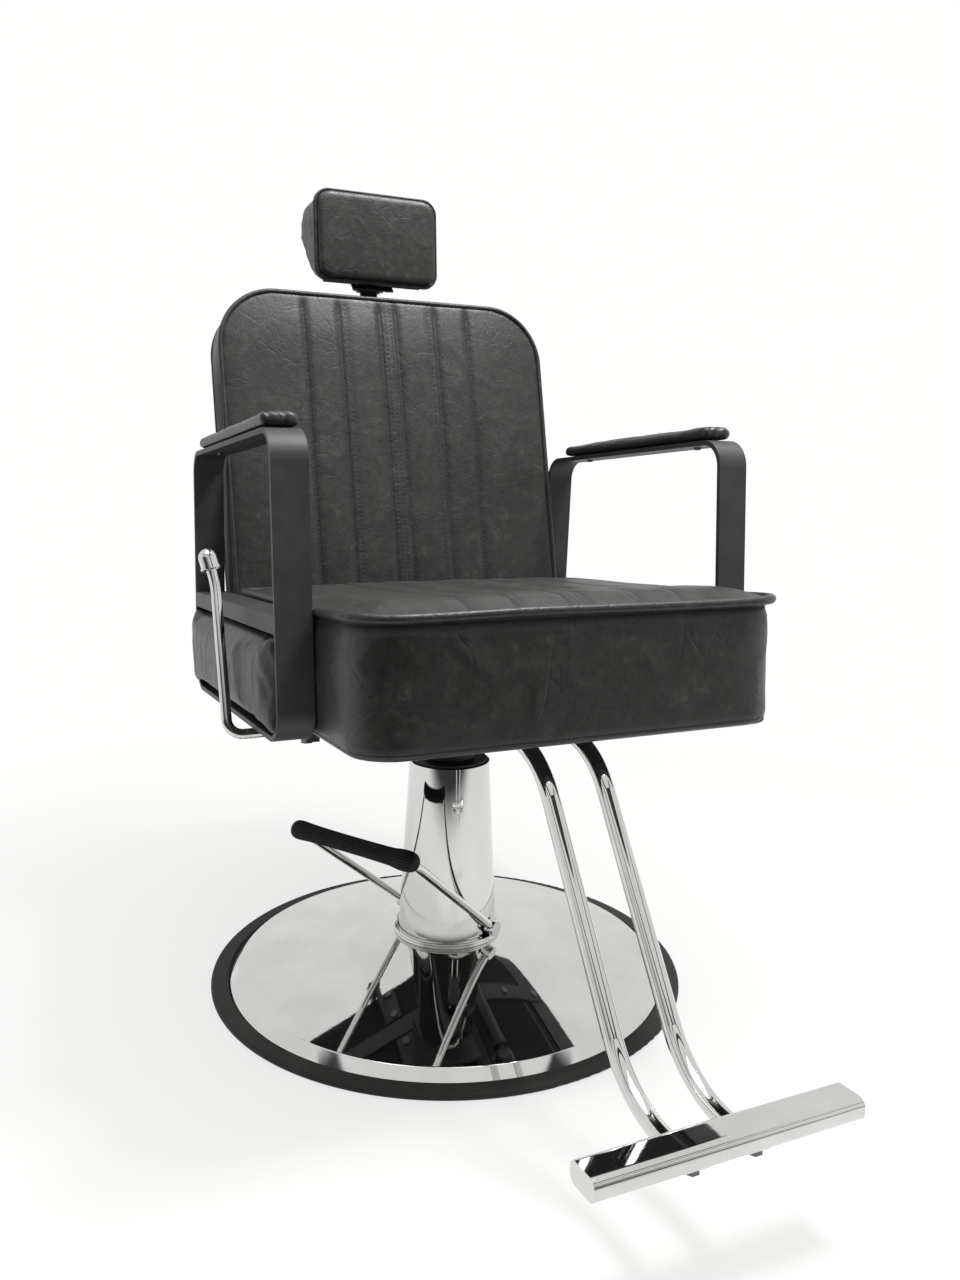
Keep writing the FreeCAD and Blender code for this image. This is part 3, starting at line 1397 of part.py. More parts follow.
def strut_bracket():
    body = new_body("strut_mount")
    half = of("strut_eye_width") / 2 + of("hinge_gap")
    cheek = of("fork_cheek")
    left = of("hinge_x") - half - cheek
    reach = of("strut_bracket_half")
    y = -of("strut_front")
    z = of("strut_front_z")
    flange = new_sketch(body, "XY_Plane", flange_bottom)
    box_loop(flange, left, of("hinge_x") + of("strut_bracket_bolt") + of("bolt_head_radius") + 2,
             y - reach, y + reach)
    pad(body, flange, of("strap_thickness"))
    radius = of("strut_eye")
    cheeks = new_sketch(body, "YZ_Plane", left)
    loop(cheeks, [(y - radius, z, radius), (y, z - radius, radius), (y + radius, z),
                  (y + radius, flange_bottom), (y - radius, flange_bottom)])
    pad(body, cheeks, 2 * (half + cheek))
    gap = new_sketch(body, "YZ_Plane", of("hinge_x") - half)
    box_loop(gap, y - 2 * radius, y + 2 * radius, z - 2 * radius, flange_bottom)
    pocket(body, gap, 2 * half, reverse=True)
    bore = new_sketch(body, "YZ_Plane", left)
    circle(bore, y, z, of("strut_pin_radius"))
    pocket(body, bore, 2 * (half + cheek), reverse=True)
    bolt_holes(body, strut_bolt_places(), flange_bottom, of("strap_thickness"))
    node(body, "strut_bracket", seat_frame)


def strut_pin(name, y, z, half):
    # A plain pin across X with a washer face at each end.
    x = of("hinge_x")
    stem = cylinder(name + "_stem", of("strut_pin_radius"), 2 * half, at(x - half, y, z, TO_PLUS_X))
    caps = []
    for side, start in (("in", x - half - of("pin_cap")), ("out", x + half)):
        caps.append(cylinder(name + "_" + side, of("pin_cap_radius"), of("pin_cap"),
                             at(start, y, z, TO_PLUS_X)))
    return fuse(name, [stem] + caps)


def lever_bearings():
    parts = []
    y = -of("lever_shaft_y")
    low = board_bottom - of("clamp_height")
    for k, x in enumerate(bearing_places()):
        body = new_body("bearing_%d" % k)
        half = of("bearing_width") / 2
        sketch = new_sketch(body, "XY_Plane", low)
        box_loop(sketch, x - half, x + half, y - of("bearing_front"), y + of("bearing_rear"))
        pad(body, sketch, of("clamp_height"))
        bore = new_sketch(body, "YZ_Plane", x - half)
        circle(bore, y, of("lever_shaft_z"), of("lever_radius") + of("running"))
        pocket(body, bore, of("bearing_width"), reverse=True)
        bolt_holes(body, [(x, y + of("bearing_bolt"))], low, of("clamp_height"))
        parts.append(body)
    group("bearings", parts, "lever_bearings", seat_frame)


lever_plane = seat_frame.multiply(Placement(
    Vector(0, -of("lever_shaft_y").number, of("lever_shaft_z").number),
    Rotation(Vector(1, 0, 0), 90 - of("lever_angle").number)))


def lever():
    # Drawn flat: x across the chair, y up along the leaning lever.
    bend = of("lever_bend")
    jog = of("jog_angle")
    soft = of("lever_jog_bend")
    depth = of("knob_length") - of("knob_cover")
    legs = [(of("lever_inner") + of("lever_x") - bend, size(180)), bend,
            (of("lever_rise"), size(90)), soft, (of("lever_jog_run") + depth, 90 + jog)]
    path = bent_path("lever", (of("lever_inner"), size(0)), legs, Placement())
    heading = Rotation(Vector(0, 0, 1), 180).multiply(TO_PLUS_X)
    section = round_section("lever", of("lever_radius"), at(of("lever_inner"), 0, 0, heading))
    rod = sweep("lever", path, section)
    finger = doc.addObject("Part::Box", "finger")
    width = of("finger_width")
    finger.setExpression("Length", width.text)
    finger.setExpression("Width", of("finger_length").text)
    finger.setExpression("Height", width.text)
    finger.Placement = at(of("hinge_x") - width / 2, -of("finger_length"), -width / 2)
    upright = Rotation(Vector(1, 0, 0), of("lever_angle").number)
    straight = doc.addObject("Part::Compound", "finger_turned")
    straight.Links = [finger]
    straight.Placement = Placement(Vector(0, 0, 0), upright)
    node(fuse("lever_whole", [rod, straight]), "recline_lever", lever_plane)
    side = soft * (1 - cosine(jog)) + of("lever_jog_run") * sine(jog)
    rise = bend + of("lever_rise") + soft * sine(jog) + of("lever_jog_run") * cosine(jog)
    outward = Rotation(Vector(0, 0, 1), jog.number).multiply(TO_PLUS_Y)
    round_start = of("knob_length") - of("knob_radius")
    turned("knob", [
        (of("knob_mouth"), 0), (of("knob_rim"), 0), (of("knob_rim"), of("knob_rim_length")),
        (of("knob_radius"), of("knob_rim_length")), (of("knob_radius"), round_start, of("knob_radius")),
        (0, of("knob_length")), (0, depth), (of("lever_radius"), depth),
        (of("lever_radius"), of("knob_rim_length")),
    ], "lever_knob", lever_plane.multiply(at(-(of("lever_x") + side), rise, 0, outward)))


# ---- strut, in its own frame: Y runs from the front pin to the rear pin ----

pin_y = of("hinge_y") + of("lug_reach") * sine(of("lug_angle"))
pin_z = of("hinge_z") - of("lug_reach") * cosine(of("lug_angle")) - of("lug_play")
strut_drop = arctangent((of("strut_front_z") - pin_z) / (pin_y + of("strut_front")))
strut_length = (pin_y + of("strut_front")) / cosine(strut_drop)
strut_frame = seat_frame.multiply(Placement(
    Vector(0, -of("strut_front").number, of("strut_front_z").number),
    Rotation(Vector(1, 0, 0), -strut_drop.number)))


def strut_tube():
    x = of("hinge_x")
    eye = of("strut_eye")
    wide = of("strut_eye_width")
    neck = of("strut_neck")
    end = of("strut_tube_length")
    barrel = cylinder("barrel", of("strut_radius"), end - neck, at(x, neck, 0, TO_PLUS_Y))
    ring = cylinder("eye", eye, wide, at(x - wide / 2, 0, 0, TO_PLUS_X))
    stalk = cylinder("barrel_stalk", wide / 2 - of("hinge_gap"), neck, at(x, 0, 0, TO_PLUS_Y))
    floor = neck + of("strut_end")
    holes = [
        cylinder("chamber", of("strut_radius") - of("strut_wall"), end - floor - of("strut_end"),
                 at(x, floor, 0, TO_PLUS_Y)),
        cylinder("rod_hole", of("strut_rod_radius") + of("running"), end - floor + 1,
                 at(x, floor, 0, TO_PLUS_Y)),
        cylinder("eye_hole", of("strut_pin_radius") + of("running"), 2 * wide, at(x - wide, 0, 0, TO_PLUS_X)),
    ]
    solid = fuse("barrel_blank", [barrel, ring, stalk])
    bored = cut("strut_barrel", solid, fuse("barrel_holes", holes))
    pin = cylinder("valve", of("valve_radius"), of("valve_length"),
                   at(x, -of("valve_start") - of("valve_length"), 0, TO_PLUS_Y))
    node(fuse("strut_sealed", [bored, pin]), "strut_tube", strut_frame)


def strut_rod():
    x = of("hinge_x")
    tail = of("strut_rod_tail")
    length = strut_length
    half = of("back_bar_thickness") / 2 + of("hinge_gap")
    wide = half + of("fork_cheek")
    radius = of("fork_radius")
    body = new_body("fork")
    sketch = new_sketch(body, "YZ_Plane", x - wide)
    loop(sketch, [(length - of("fork_length"), -radius), (length, -radius, radius),
                  (length + radius, 0, radius), (length, radius), (length - of("fork_length"), radius)])
    pad(body, sketch, 2 * wide)
    slot = new_sketch(body, "YZ_Plane", x - half)
    box_loop(slot, length - of("fork_slot"), length + 2 * radius, -2 * radius, 2 * radius)
    pocket(body, slot, 2 * half, reverse=True)
    bore = new_sketch(body, "YZ_Plane", x - wide)
    circle(bore, length, 0, of("strut_pin_radius"))
    pocket(body, bore, 2 * wide, reverse=True)
    stem = cylinder("stem", of("strut_rod_radius"), length - of("fork_slot") - tail,
                    at(x, tail, 0, TO_PLUS_Y))
    head = cylinder("stem_piston", of("strut_radius") - of("strut_wall") - of("running"), of("strut_end"),
                    at(x, tail, 0, TO_PLUS_Y))
    node(fuse("strut_stem", [stem, head, body]), "strut_rod", strut_frame)
    node(strut_pin("strut_rear_pin", length, 0, wide), "strut_rear_pin", strut_frame)


# ---- back, in its own frame ----

hinge_v = ((of("hinge_y") - of("back_y")) * cosine(of("back_angle"))
           - (of("hinge_z") - of("back_z")) * sine(of("back_angle")))
hinge_w = ((of("hinge_y") - of("back_y")) * sine(of("back_angle"))
           + (of("hinge_z") - of("back_z")) * cosine(of("back_angle")))
back_rear = of("back_cushion_depth") + of("back_board_depth")


def back_outline(body, start, depth, inset):
    sketch = new_sketch(body, "XZ_Plane", -start)
    half = of("back_half_width") - inset
    box_loop(sketch, -half, half, of("back_foot") + inset, of("back_top") - inset)
    pad(body, sketch, depth, reverse=True)
    deep = Vector(0, 1, 0)
    middle = (of("back_foot").number + of("back_top").number) / 2
    fillet(body, lambda edge: along(edge, deep) and edge.CenterOfMass.z > middle, of("back_corner") - inset)
    fillet(body, lambda edge: along(edge, deep) and edge.CenterOfMass.z < middle,
           of("back_foot_corner") - inset)


guide_ear_w = of("guide_top") - of("guide_ear_drop")


def back_bolt_places():
    tab = of("hinge_x") - of("back_bar_thickness") / 2 - of("tab_reach") / 2
    places = [(tab * side, w) for side in (-1, 1) for w in (of("back_tab_low"), of("back_tab_high"))]
    ear = of("guide_half_width") + of("guide_ear") / 2
    return places + [(ear * side, guide_ear_w) for side in (-1, 1)]


def rear_holes(body, places, start, length, radius=None):
    # Holes along Y, from start towards the rear.
    sketch = new_sketch(body, "XZ_Plane", -start)
    for x, w in places:
        circle(sketch, x, w, radius or (of("bolt_radius") + of("bolt_clear")))
    pocket(body, sketch, length)


def back_cushion():
    body = new_body("back_pad")
    back_outline(body, size(0), of("back_cushion_depth"), size(0))
    fillet(body, lambda edge: abs(edge.BoundBox.YMax) < 1e-6, of("back_edge_round"))
    node(body, "back_cushion", back_frame)
    body = new_body("back_panel")
    back_outline(body, of("back_cushion_depth"), of("back_board_depth"), of("board_inset"))
    rear_holes(body, back_bolt_places(), back_rear - of("bolt_bite") - of("bolt_clear"),
               of("bolt_bite") + of("bolt_clear"))
    node(body, "back_board", back_frame)


def back_bar(name, lug):
    body = new_body(name)
    half = of("back_bar_thickness") / 2
    x = of("hinge_x")
    strip = new_sketch(body, "YZ_Plane", x - half)
    box_loop(strip, back_rear, back_rear + of("back_bar_width"), hinge_w, of("back_bar_top"))
    pad(body, strip, 2 * half)
    boss = new_sketch(body, "YZ_Plane", x - half)
    circle(boss, hinge_v, hinge_w, of("hinge_boss"))
    pad(body, boss, 2 * half)
    if lug:
        turn = of("lug_angle") + of("back_angle")
        v = hinge_v + of("lug_reach") * sine(turn)
        w = hinge_w - of("lug_reach") * cosine(turn)
        side_v = of("lug_width") / 2 * cosine(turn)
        side_w = of("lug_width") / 2 * sine(turn)
        arm = new_sketch(body, "YZ_Plane", x - half)
        loop(arm, [(hinge_v - side_v, hinge_w - side_w), (v - side_v, w - side_w),
                   (v + side_v, w + side_w), (hinge_v + side_v, hinge_w + side_w)])
        pad(body, arm, 2 * half)
        end = new_sketch(body, "YZ_Plane", x - half)
        circle(end, v, w, of("lug_boss"))
        pad(body, end, 2 * half)
        hole = new_sketch(body, "YZ_Plane", x - half)
        circle(hole, v, w, of("lug_hole"))
        pocket(body, hole, 2 * half, reverse=True)
    bore = new_sketch(body, "YZ_Plane", x - half)
    circle(bore, hinge_v, hinge_w, of("hinge_pin_radius") + of("running"))
    pocket(body, bore, 2 * half, reverse=True)
    tabs = new_sketch(body, "XZ_Plane", -back_rear)
    reach = of("tab_reach")
    for w in (of("back_tab_low"), of("back_tab_high")):
        box_loop(tabs, x - half - reach, x - half, w - reach / 2, w + reach / 2)
    pad(body, tabs, of("strap_thickness"), reverse=True)
    places = [place for place in back_bolt_places()[:4] if place[0].number > 0]
    rear_holes(body, places, back_rear, of("strap_thickness"))
    return body


def back_bars():
    left = back_bar("left_bar", True)
    right = mirrored("right_bar", back_bar("plain_bar", False))
    group("bars", [left, right], "back_bars", back_frame)


def rear_bolts(name, places, label):
    parts = []
    for k, (x, w) in enumerate(places):
        screw = bolt("%s_%d" % (name, k), 0, 0, 0, of("strap_thickness") + of("bolt_bite"))
        screw.Placement = at(x, back_rear + of("strap_thickness"), w, Rotation(Vector(1, 0, 0), 90))
        parts.append(screw)
    group(name, parts, label, back_frame)


post_front = back_rear + of("guide_wall") + of("post_clear")
post_rear = post_front + of("post_thickness")
guide_rear = post_rear + of("post_clear") + of("guide_back_wall")


def headrest_guide():
    body = new_body("guide")
    half = of("guide_half_width")
    sketch = new_sketch(body, "XZ_Plane", -back_rear)
    box_loop(sketch, -half, half, of("guide_foot"), of("guide_top"))
    pad(body, sketch, guide_rear - back_rear, reverse=True)
    ears = new_sketch(body, "XZ_Plane", -back_rear)
    wide = half + of("guide_ear")
    tall = of("tab_reach") / 2
    box_loop(ears, -wide, wide, guide_ear_w - tall, guide_ear_w + tall)
    pad(body, ears, of("strap_thickness"), reverse=True)
    room = new_sketch(body, "XZ_Plane", -(post_front - of("post_clear")))
    inner = of("post_half_width") + of("post_clear")
    box_loop(room, -inner, inner, of("guide_foot") - 1, of("guide_top") + 1)
    pocket(body, room, of("post_thickness") + 2 * of("post_clear"))
    rear_holes(body, back_bolt_places()[4:], back_rear, of("strap_thickness"))
    rear_holes(body, [(size(0), of("clamp_screw_z"))], post_rear + of("post_clear"),
               of("guide_back_wall"), of("clamp_screw_radius") + of("running"))
    node(body, "headrest_guide", back_frame)


def clamp_knob():
    w = of("clamp_screw_z")
    start = post_rear + of("post_clear")
    stem = cylinder("clamp_stem", of("clamp_screw_radius"), of("clamp_screw_length"),
                    at(0, start, w, TO_PLUS_Y))
    grip = cylinder("clamp_grip", of("clamp_knob_radius"), of("clamp_knob_length"),
                    at(0, start + of("clamp_screw_length"), w, TO_PLUS_Y))
    lobes = []
    for k in range(6):
        angle = math.radians(60 * k)
        x = (of("clamp_knob_radius").number + 2) * math.cos(angle)
        z = w.number + (of("clamp_knob_radius").number + 2) * math.sin(angle)
        lobes.append(cylinder("clamp_scoop_%d" % k, of("clamp_scoop"), of("clamp_knob_length"),
                              at(x, start + of("clamp_screw_length"), z, TO_PLUS_Y)))
    shaped = cut("clamp_star", grip, fuse("clamp_scoops", lobes))
    node(fuse("clamp", [stem, shaped]), "headrest_clamp_knob", back_frame)


head_v = ((of("head_pivot_y") - of("back_y")) * cosine(of("back_angle"))
          - (of("head_pivot_z") - of("back_z")) * sine(of("back_angle")))
head_w = ((of("head_pivot_y") - of("back_y")) * sine(of("back_angle"))
          + (of("head_pivot_z") - of("back_z")) * cosine(of("back_angle")))


def headrest_post():
    body = new_body("post")
    sketch = new_sketch(body, "XZ_Plane", -post_front)
    half = of("post_half_width")
    box_loop(sketch, -half, half, of("post_bottom"), head_w)
    pad(body, sketch, of("post_thickness"), reverse=True)
    knuckle = new_sketch(body, "YZ_Plane", -half)
    circle(knuckle, head_v, head_w, of("head_knuckle"))
    pad(body, knuckle, 2 * half)
    bore = new_sketch(body, "YZ_Plane", -half)
    circle(bore, head_v, head_w, of("head_pin_radius"))
    pocket(body, bore, 2 * half, reverse=True)
    node(body, "headrest_post", back_frame)
    reach = half + of("hinge_gap") + of("head_ear") + of("loose")
    stem = cylinder("head_pin_stem", of("head_pin_radius"), 2 * reach, at(-reach, 0, 0, TO_PLUS_X))
    ends = []
    for side, start in (("nut", -reach - of("head_nut_height")), ("head", reach)):
        end = doc.addObject("Part::Prism", "head_pin_" + side)
        end.Polygon = 6
        end.setExpression("Circumradius", of("head_nut_radius").text)
        end.setExpression("Height", of("head_nut_height").text)
        end.Placement = at(start, 0, 0, TO_PLUS_X)
        ends.append(end)
    node(fuse("head_pin", [stem] + ends), "headrest_pin", back_frame.multiply(at(0, head_v, head_w)))


# ---- headrest, drawn about its hinge in the leaning frame ----

head_frame = seat_frame.multiply(at(0, of("head_pivot_y"), of("head_pivot_z")))
slant_sine = sine(of("slant_angle"))
slant_cosine = cosine(of("slant_angle"))


def slanted(run, depth):
    # A point by its run up the slanted rear and its distance from the hinge towards the front.
    return (slant_cosine * run - slant_sine * depth, slant_sine * run + slant_cosine * depth)


def run_at(y):
    # The run up the slanted rear face at a local y.
    return (y + slant_sine * of("head_plane")) / slant_cosine


def headrest_cushion():
    body = new_body("head_pad")
    front = of("head_front") - of("head_pivot_y")
    low = of("head_bottom") - of("head_pivot_z")
    high = of("head_top") - of("head_pivot_z")
    heel = slanted(run_at(front + of("head_foot_run")), of("head_plane"))
    tail = slanted(run_at(front + of("head_slant_run")), of("head_plane"))
    sketch = new_sketch(body, "YZ_Plane")
    loop(sketch, [(front, low), heel, tail, (front + of("head_top_run"), high), (front, high)])
    pad(body, sketch, 2 * of("head_half_width"), symmetric=True)
    sideways = Vector(1, 0, 0)
    fillet(body, lambda edge: along(edge, sideways) and edge.CenterOfMass.z > high.number / 2,
           of("head_round"))
    half = of("head_half_width").number
    fillet(body, lambda edge: abs(abs(edge.CenterOfMass.x) - half) < 1e-6, of("head_side_round"))
    node(body, "headrest_cushion", head_frame)


def slab(body, run, depth, length, thickness, half):
    # A plate lying along the slanted rear, drawn across X.
    sketch = new_sketch(body, "YZ_Plane", -half)
    loop(sketch, [slanted(run, depth), slanted(run, depth - thickness),
                  slanted(run + length, depth - thickness), slanted(run + length, depth)])
    pad(body, sketch, 2 * half)


def headrest_board():
    body = new_body("head_board")
    start = run_at(of("head_front") - of("head_pivot_y") + of("head_foot_run")) + of("head_board_start")
    slab(body, start, of("head_plane"), of("head_board_length"), of("head_board_depth"),
         of("head_board_half"))
    face = of("head_plane") - of("head_board_depth")
    screws = fuse("head_screw_holes", head_screw_solids("hole", of("pad_screw_radius") + of("bolt_clear"),
                                                        face, of("head_screw_bite") + of("bolt_clear")))
    node(cut("head_panel", body, screws), "headrest_board", head_frame)


def head_screw_solids(name, radius, depth, length):
    # Cylinders square to the slanted board, starting at a depth from the hinge.
    square = Rotation(Vector(1, 0, 0), of("slant_angle").number)
    solids = []
    for i in (-1, 1):
        for j in (-1, 1):
            y, z = slanted(of("head_screw_run") * j, depth)
            solids.append(cylinder("head_%s_%d" % (name, len(solids)), radius, length,
                                   at(of("head_screw_x") * i, y, z, square)))
    return solids


def headrest_bracket():
    body = new_body("head_bracket")
    face = of("head_plane") - of("head_board_depth")
    length = of("head_plate_length")
    slab(body, -length / 2, face, length, of("head_plate_depth"), of("head_plate_half"))
    inner = of("post_half_width") + of("hinge_gap")
    radius = of("head_knuckle")
    for side in (-1, 1):
        start = inner if side > 0 else -(inner + of("head_ear"))
        arm = new_sketch(body, "YZ_Plane", start)
        loop(arm, [slanted(-radius, size(0)), slanted(radius, size(0)), slanted(radius, face),
                   slanted(-radius, face)])
        pad(body, arm, of("head_ear"))
        disc = new_sketch(body, "YZ_Plane", start)
        circle(disc, 0, 0, radius)
        pad(body, disc, of("head_ear"))
    bore = new_sketch(body, "YZ_Plane")
    circle(bore, 0, 0, of("head_pin_radius") + of("running"))
    pocket(body, bore, 4 * inner, symmetric=True)
    holes = fuse("head_bracket_holes", head_screw_solids("through", of("pad_screw_radius") + of("bolt_clear"),
                                                         face - of("head_plate_depth"),
                                                         of("head_plate_depth")))
    node(cut("head_bracket", body, holes), "headrest_bracket", head_frame)
    start = face - of("head_plate_depth")
    stems = head_screw_solids("stem", of("pad_screw_radius"), start,
                              of("head_plate_depth") + of("head_screw_bite"))
    heads = head_screw_solids("cap", of("pad_screw_head"), start - of("pad_screw_head_height"),
                              of("pad_screw_head_height"))
    parts = [fuse("head_screw_%d" % k, [stems[k], heads[k]]) for k in range(len(stems))]
    group("head_screws", parts, "headrest_screws", head_frame)


def build():
    for make in (rubber_ring, base_plate, base_dome, shroud_ring, pump_shroud, shroud_cap, pump_base,
                 pump_tubes, pump_bolts, ram_parts, pedal_shaft, pedal_rod_and_grip, pump_plunger,
                 swivel_hub, hub_bracket, mount_plate, seat_board, seat_cushion, seat_bolts, arm_straps,
                 arm_frames, arm_rails, side_pads, arm_pads, arm_pad_screws, footrest_tubes,
                 footrest_clamp, foot_bar, foot_bar_caps, hinge_brackets, seat_pins, strut_bracket,
                 lever_bearings, lever, strut_tube, strut_rod, back_cushion, back_bars, headrest_guide,
                 clamp_knob, headrest_post, headrest_cushion, headrest_board, headrest_bracket):
        make()
        print(make.__name__)
    rear_bolts("back_bolt_group", back_bolt_places(), "back_bolts")
    doc.recompute()


def check_and_write():
    bad = [thing.Name for thing in doc.Objects if "Invalid" in thing.State or "Error" in thing.State]
    if bad:
        raise RuntimeError("not rebuilt: " + ", ".join(bad))
    os.makedirs("parts", exist_ok=True)
    for thing in nodes:
        shape = thing.Shape
        if shape.isNull() or not shape.isValid():
            raise RuntimeError(thing.Label + ": the shape is not valid")
        shape.exportStep("parts/" + thing.Label + ".step")
    print(len(nodes), "pieces")


build()
check_and_write()
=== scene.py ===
import bmesh
import bpy
import json
import math
from mathutils import Matrix, Vector, noise
from mathutils.bvhtree import BVHTree


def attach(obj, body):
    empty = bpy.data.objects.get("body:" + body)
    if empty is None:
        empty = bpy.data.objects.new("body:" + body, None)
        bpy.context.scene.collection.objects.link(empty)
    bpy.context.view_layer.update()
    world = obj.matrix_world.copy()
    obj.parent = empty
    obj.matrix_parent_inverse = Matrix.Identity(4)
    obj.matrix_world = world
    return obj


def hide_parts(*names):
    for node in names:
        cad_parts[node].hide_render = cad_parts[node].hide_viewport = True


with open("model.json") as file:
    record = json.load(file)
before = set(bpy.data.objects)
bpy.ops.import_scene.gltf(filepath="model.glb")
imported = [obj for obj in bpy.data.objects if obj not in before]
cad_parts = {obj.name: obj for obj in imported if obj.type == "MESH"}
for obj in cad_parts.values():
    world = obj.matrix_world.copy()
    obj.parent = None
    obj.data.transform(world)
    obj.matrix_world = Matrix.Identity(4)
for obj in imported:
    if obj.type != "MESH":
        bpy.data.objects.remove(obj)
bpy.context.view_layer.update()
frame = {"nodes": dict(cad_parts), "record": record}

scene = bpy.context.scene


lean = {"angle": 3.8, "height": 0.45, "backY": 0.163, "backZ": 0.54, "backAngle": 9.1}
pump = {"turn": 30.3, "shaftHeight": 0.0805, "pedalSlope": 38.9}


def tipped(y, z, angle):
    return Matrix.Translation((0, y, z)) @ Matrix.Rotation(math.radians(-angle), 4, "X")


seatPlace = tipped(0, lean["height"], lean["angle"]) @ Matrix.Translation((0, 0, -lean["height"]))
backPlace = seatPlace @ tipped(lean["backY"], lean["backZ"], lean["backAngle"])
pumpPlace = Matrix.Rotation(math.radians(pump["turn"]), 4, "Z")
pedalPlace = (pumpPlace @ Matrix.Translation((0, 0, pump["shaftHeight"]))
              @ Matrix.Rotation(math.radians(pump["pedalSlope"]), 4, "Y"))


def cornersOf(points):
    return [Vector([pick(p[k] for p in points) for k in range(3)]) for pick in (min, max)]


def boxIn(place, *nodes):
    # lowest and highest corner of CAD nodes, measured along a leaning frame
    inward = place.inverted()
    return cornersOf([inward @ v.co for name in nodes for v in frame["nodes"][name].data.vertices])


def only(piece):
    if bpy.context.object and bpy.context.object.mode != "OBJECT":
        bpy.ops.object.mode_set(mode="OBJECT")
    bpy.ops.object.select_all(action="DESELECT")
    piece.select_set(True)
    bpy.context.view_layer.objects.active = piece


def block(name, low, high):
    bpy.ops.object.select_all(action="DESELECT")
    bpy.ops.mesh.primitive_cube_add(size=1, location=(low + high) / 2)
    piece = bpy.context.active_object
    piece.name = name
    piece.scale = high - low
    bpy.ops.object.transform_apply(location=True, rotation=True, scale=True)
    return piece


def choose(piece, kind, test):
    # goes into edit mode with the verts, edges or faces that pass the test selected
    only(piece)
    bpy.ops.object.mode_set(mode="EDIT")
    bpy.ops.mesh.select_mode(type=kind)
    bpy.ops.mesh.select_all(action="DESELECT")
    mesh = bmesh.from_edit_mesh(piece.data)
    for part in {"VERT": mesh.verts, "EDGE": mesh.edges, "FACE": mesh.faces}[kind]:
        if test(part):
            part.select_set(True)
    bmesh.update_edit_mesh(piece.data)


def editWhole(piece):
    only(piece)
    bpy.ops.object.mode_set(mode="EDIT")
    bpy.ops.mesh.select_all(action="SELECT")


def done():
    bpy.ops.object.mode_set(mode="OBJECT")


def middle(edge):
    return (edge.verts[0].co + edge.verts[1].co) / 2


def along(edge, axis):
    step = (edge.verts[1].co - edge.verts[0].co).normalized()
    return abs(step[axis]) > 0.99


def roundEdges(piece, test, radius, segments=6):
    choose(piece, "EDGE", test)
    bpy.ops.mesh.bevel(offset=radius, segments=segments, affect="EDGES")
    done()


def apply(piece, kind, name, **settings):
    only(piece)
    added = piece.modifiers.new(name, kind)
    for key, value in settings.items():
        setattr(added, key, value)
    bpy.ops.object.modifier_apply(modifier=name)


def soften(piece, angle=40):
    only(piece)
    bpy.ops.object.shade_smooth_by_angle(angle=math.radians(angle))


def join(name, *pieces):
    only(pieces[0])
    for piece in pieces[1:]:
        piece.select_set(True)
    if len(pieces) > 1:
        bpy.ops.object.join()
    whole = bpy.context.active_object
    whole.name = name
    return whole


def smooth01(low, high, value):
    t = min(1.0, max(0.0, (value - low) / (high - low)))
    return t * t * (3 - 2 * t)


def bell(distance, width):
    return math.exp(-(distance / width) ** 2)


filling = {"pressure": 4.0, "frames": 20, "quality": 4, "coverMass": 0.3, "stretch": 12, "shear": 6, "bend": 0.6,
           "roughShare": 0.6}


def puff(piece, voxel, cap, held):
    # the cover is blown out like a filled pad and held where it is sewn or stapled
    apply(piece, "REMESH", "skin", mode="VOXEL", voxel_size=voxel, use_smooth_shade=True)
    mesh = piece.data
    start = [v.co.copy() for v in mesh.vertices]
    fast = [v.index for v in mesh.vertices if held(v.co)]
    sewn = piece.vertex_groups.new(name="sewn")
    sewn.add(fast, 1.0, "REPLACE")
    only(piece)
    air = piece.modifiers.new("air", "CLOTH")
    air.settings.quality = filling["quality"]
    air.settings.mass = filling["coverMass"]
    air.settings.tension_stiffness = filling["stretch"]
    air.settings.compression_stiffness = filling["stretch"]
    air.settings.shear_stiffness = filling["shear"]
    air.settings.bending_stiffness = filling["bend"]
    air.settings.use_pressure = True
    air.settings.uniform_pressure_force = filling["pressure"]
    air.settings.vertex_group_mass = "sewn"
    air.settings.effector_weights.gravity = 0
    air.collision_settings.use_self_collision = False
    air.point_cache.frame_start = 1
    air.point_cache.frame_end = filling["frames"]
    for step in range(1, filling["frames"] + 1):
        scene.frame_set(step)
    bpy.ops.object.modifier_apply(modifier="air")
    scene.frame_set(1)
    piece.vertex_groups.clear()
    for v, old in zip(piece.data.vertices, start):
        move = v.co - old
        most = cap(old)
        if move.length > 1e-9:
            v.co = old + move * (most * math.tanh(move.length / most) / move.length)


def sculpt(piece, shape):
    # shape(place, normal) gives each vertex its new place
    mesh = piece.data
    moved = [shape(v.co.copy(), v.normal.copy()) for v in mesh.vertices]
    for v, place in zip(mesh.vertices, moved):
        v.co = place
    mesh.update()


def mark(piece, name, value):
    # a number kept on each vertex for the material to read
    layer = piece.data.attributes.new(name, "FLOAT", "POINT")
    layer.data.foreach_set("value", [value(v.co, v.normal) for v in piece.data.vertices])


def seamAt(distance):
    # 0.5 on the sewn line, changing evenly to either side of it
    return min(1.0, max(0.0, 0.5 + distance / sewing["seamReach"]))


def markPleats(piece, axis, face, tight):
    # the numbers that place needle holes and channels: across, lengthwise, and where they are
    mark(piece, "across", lambda place, normal: place.x)
    mark(piece, "lengthwise", lambda place, normal: place[axis])
    mark(piece, "pleated", face)
    mark(piece, "tight", lambda place, normal: tight(place))


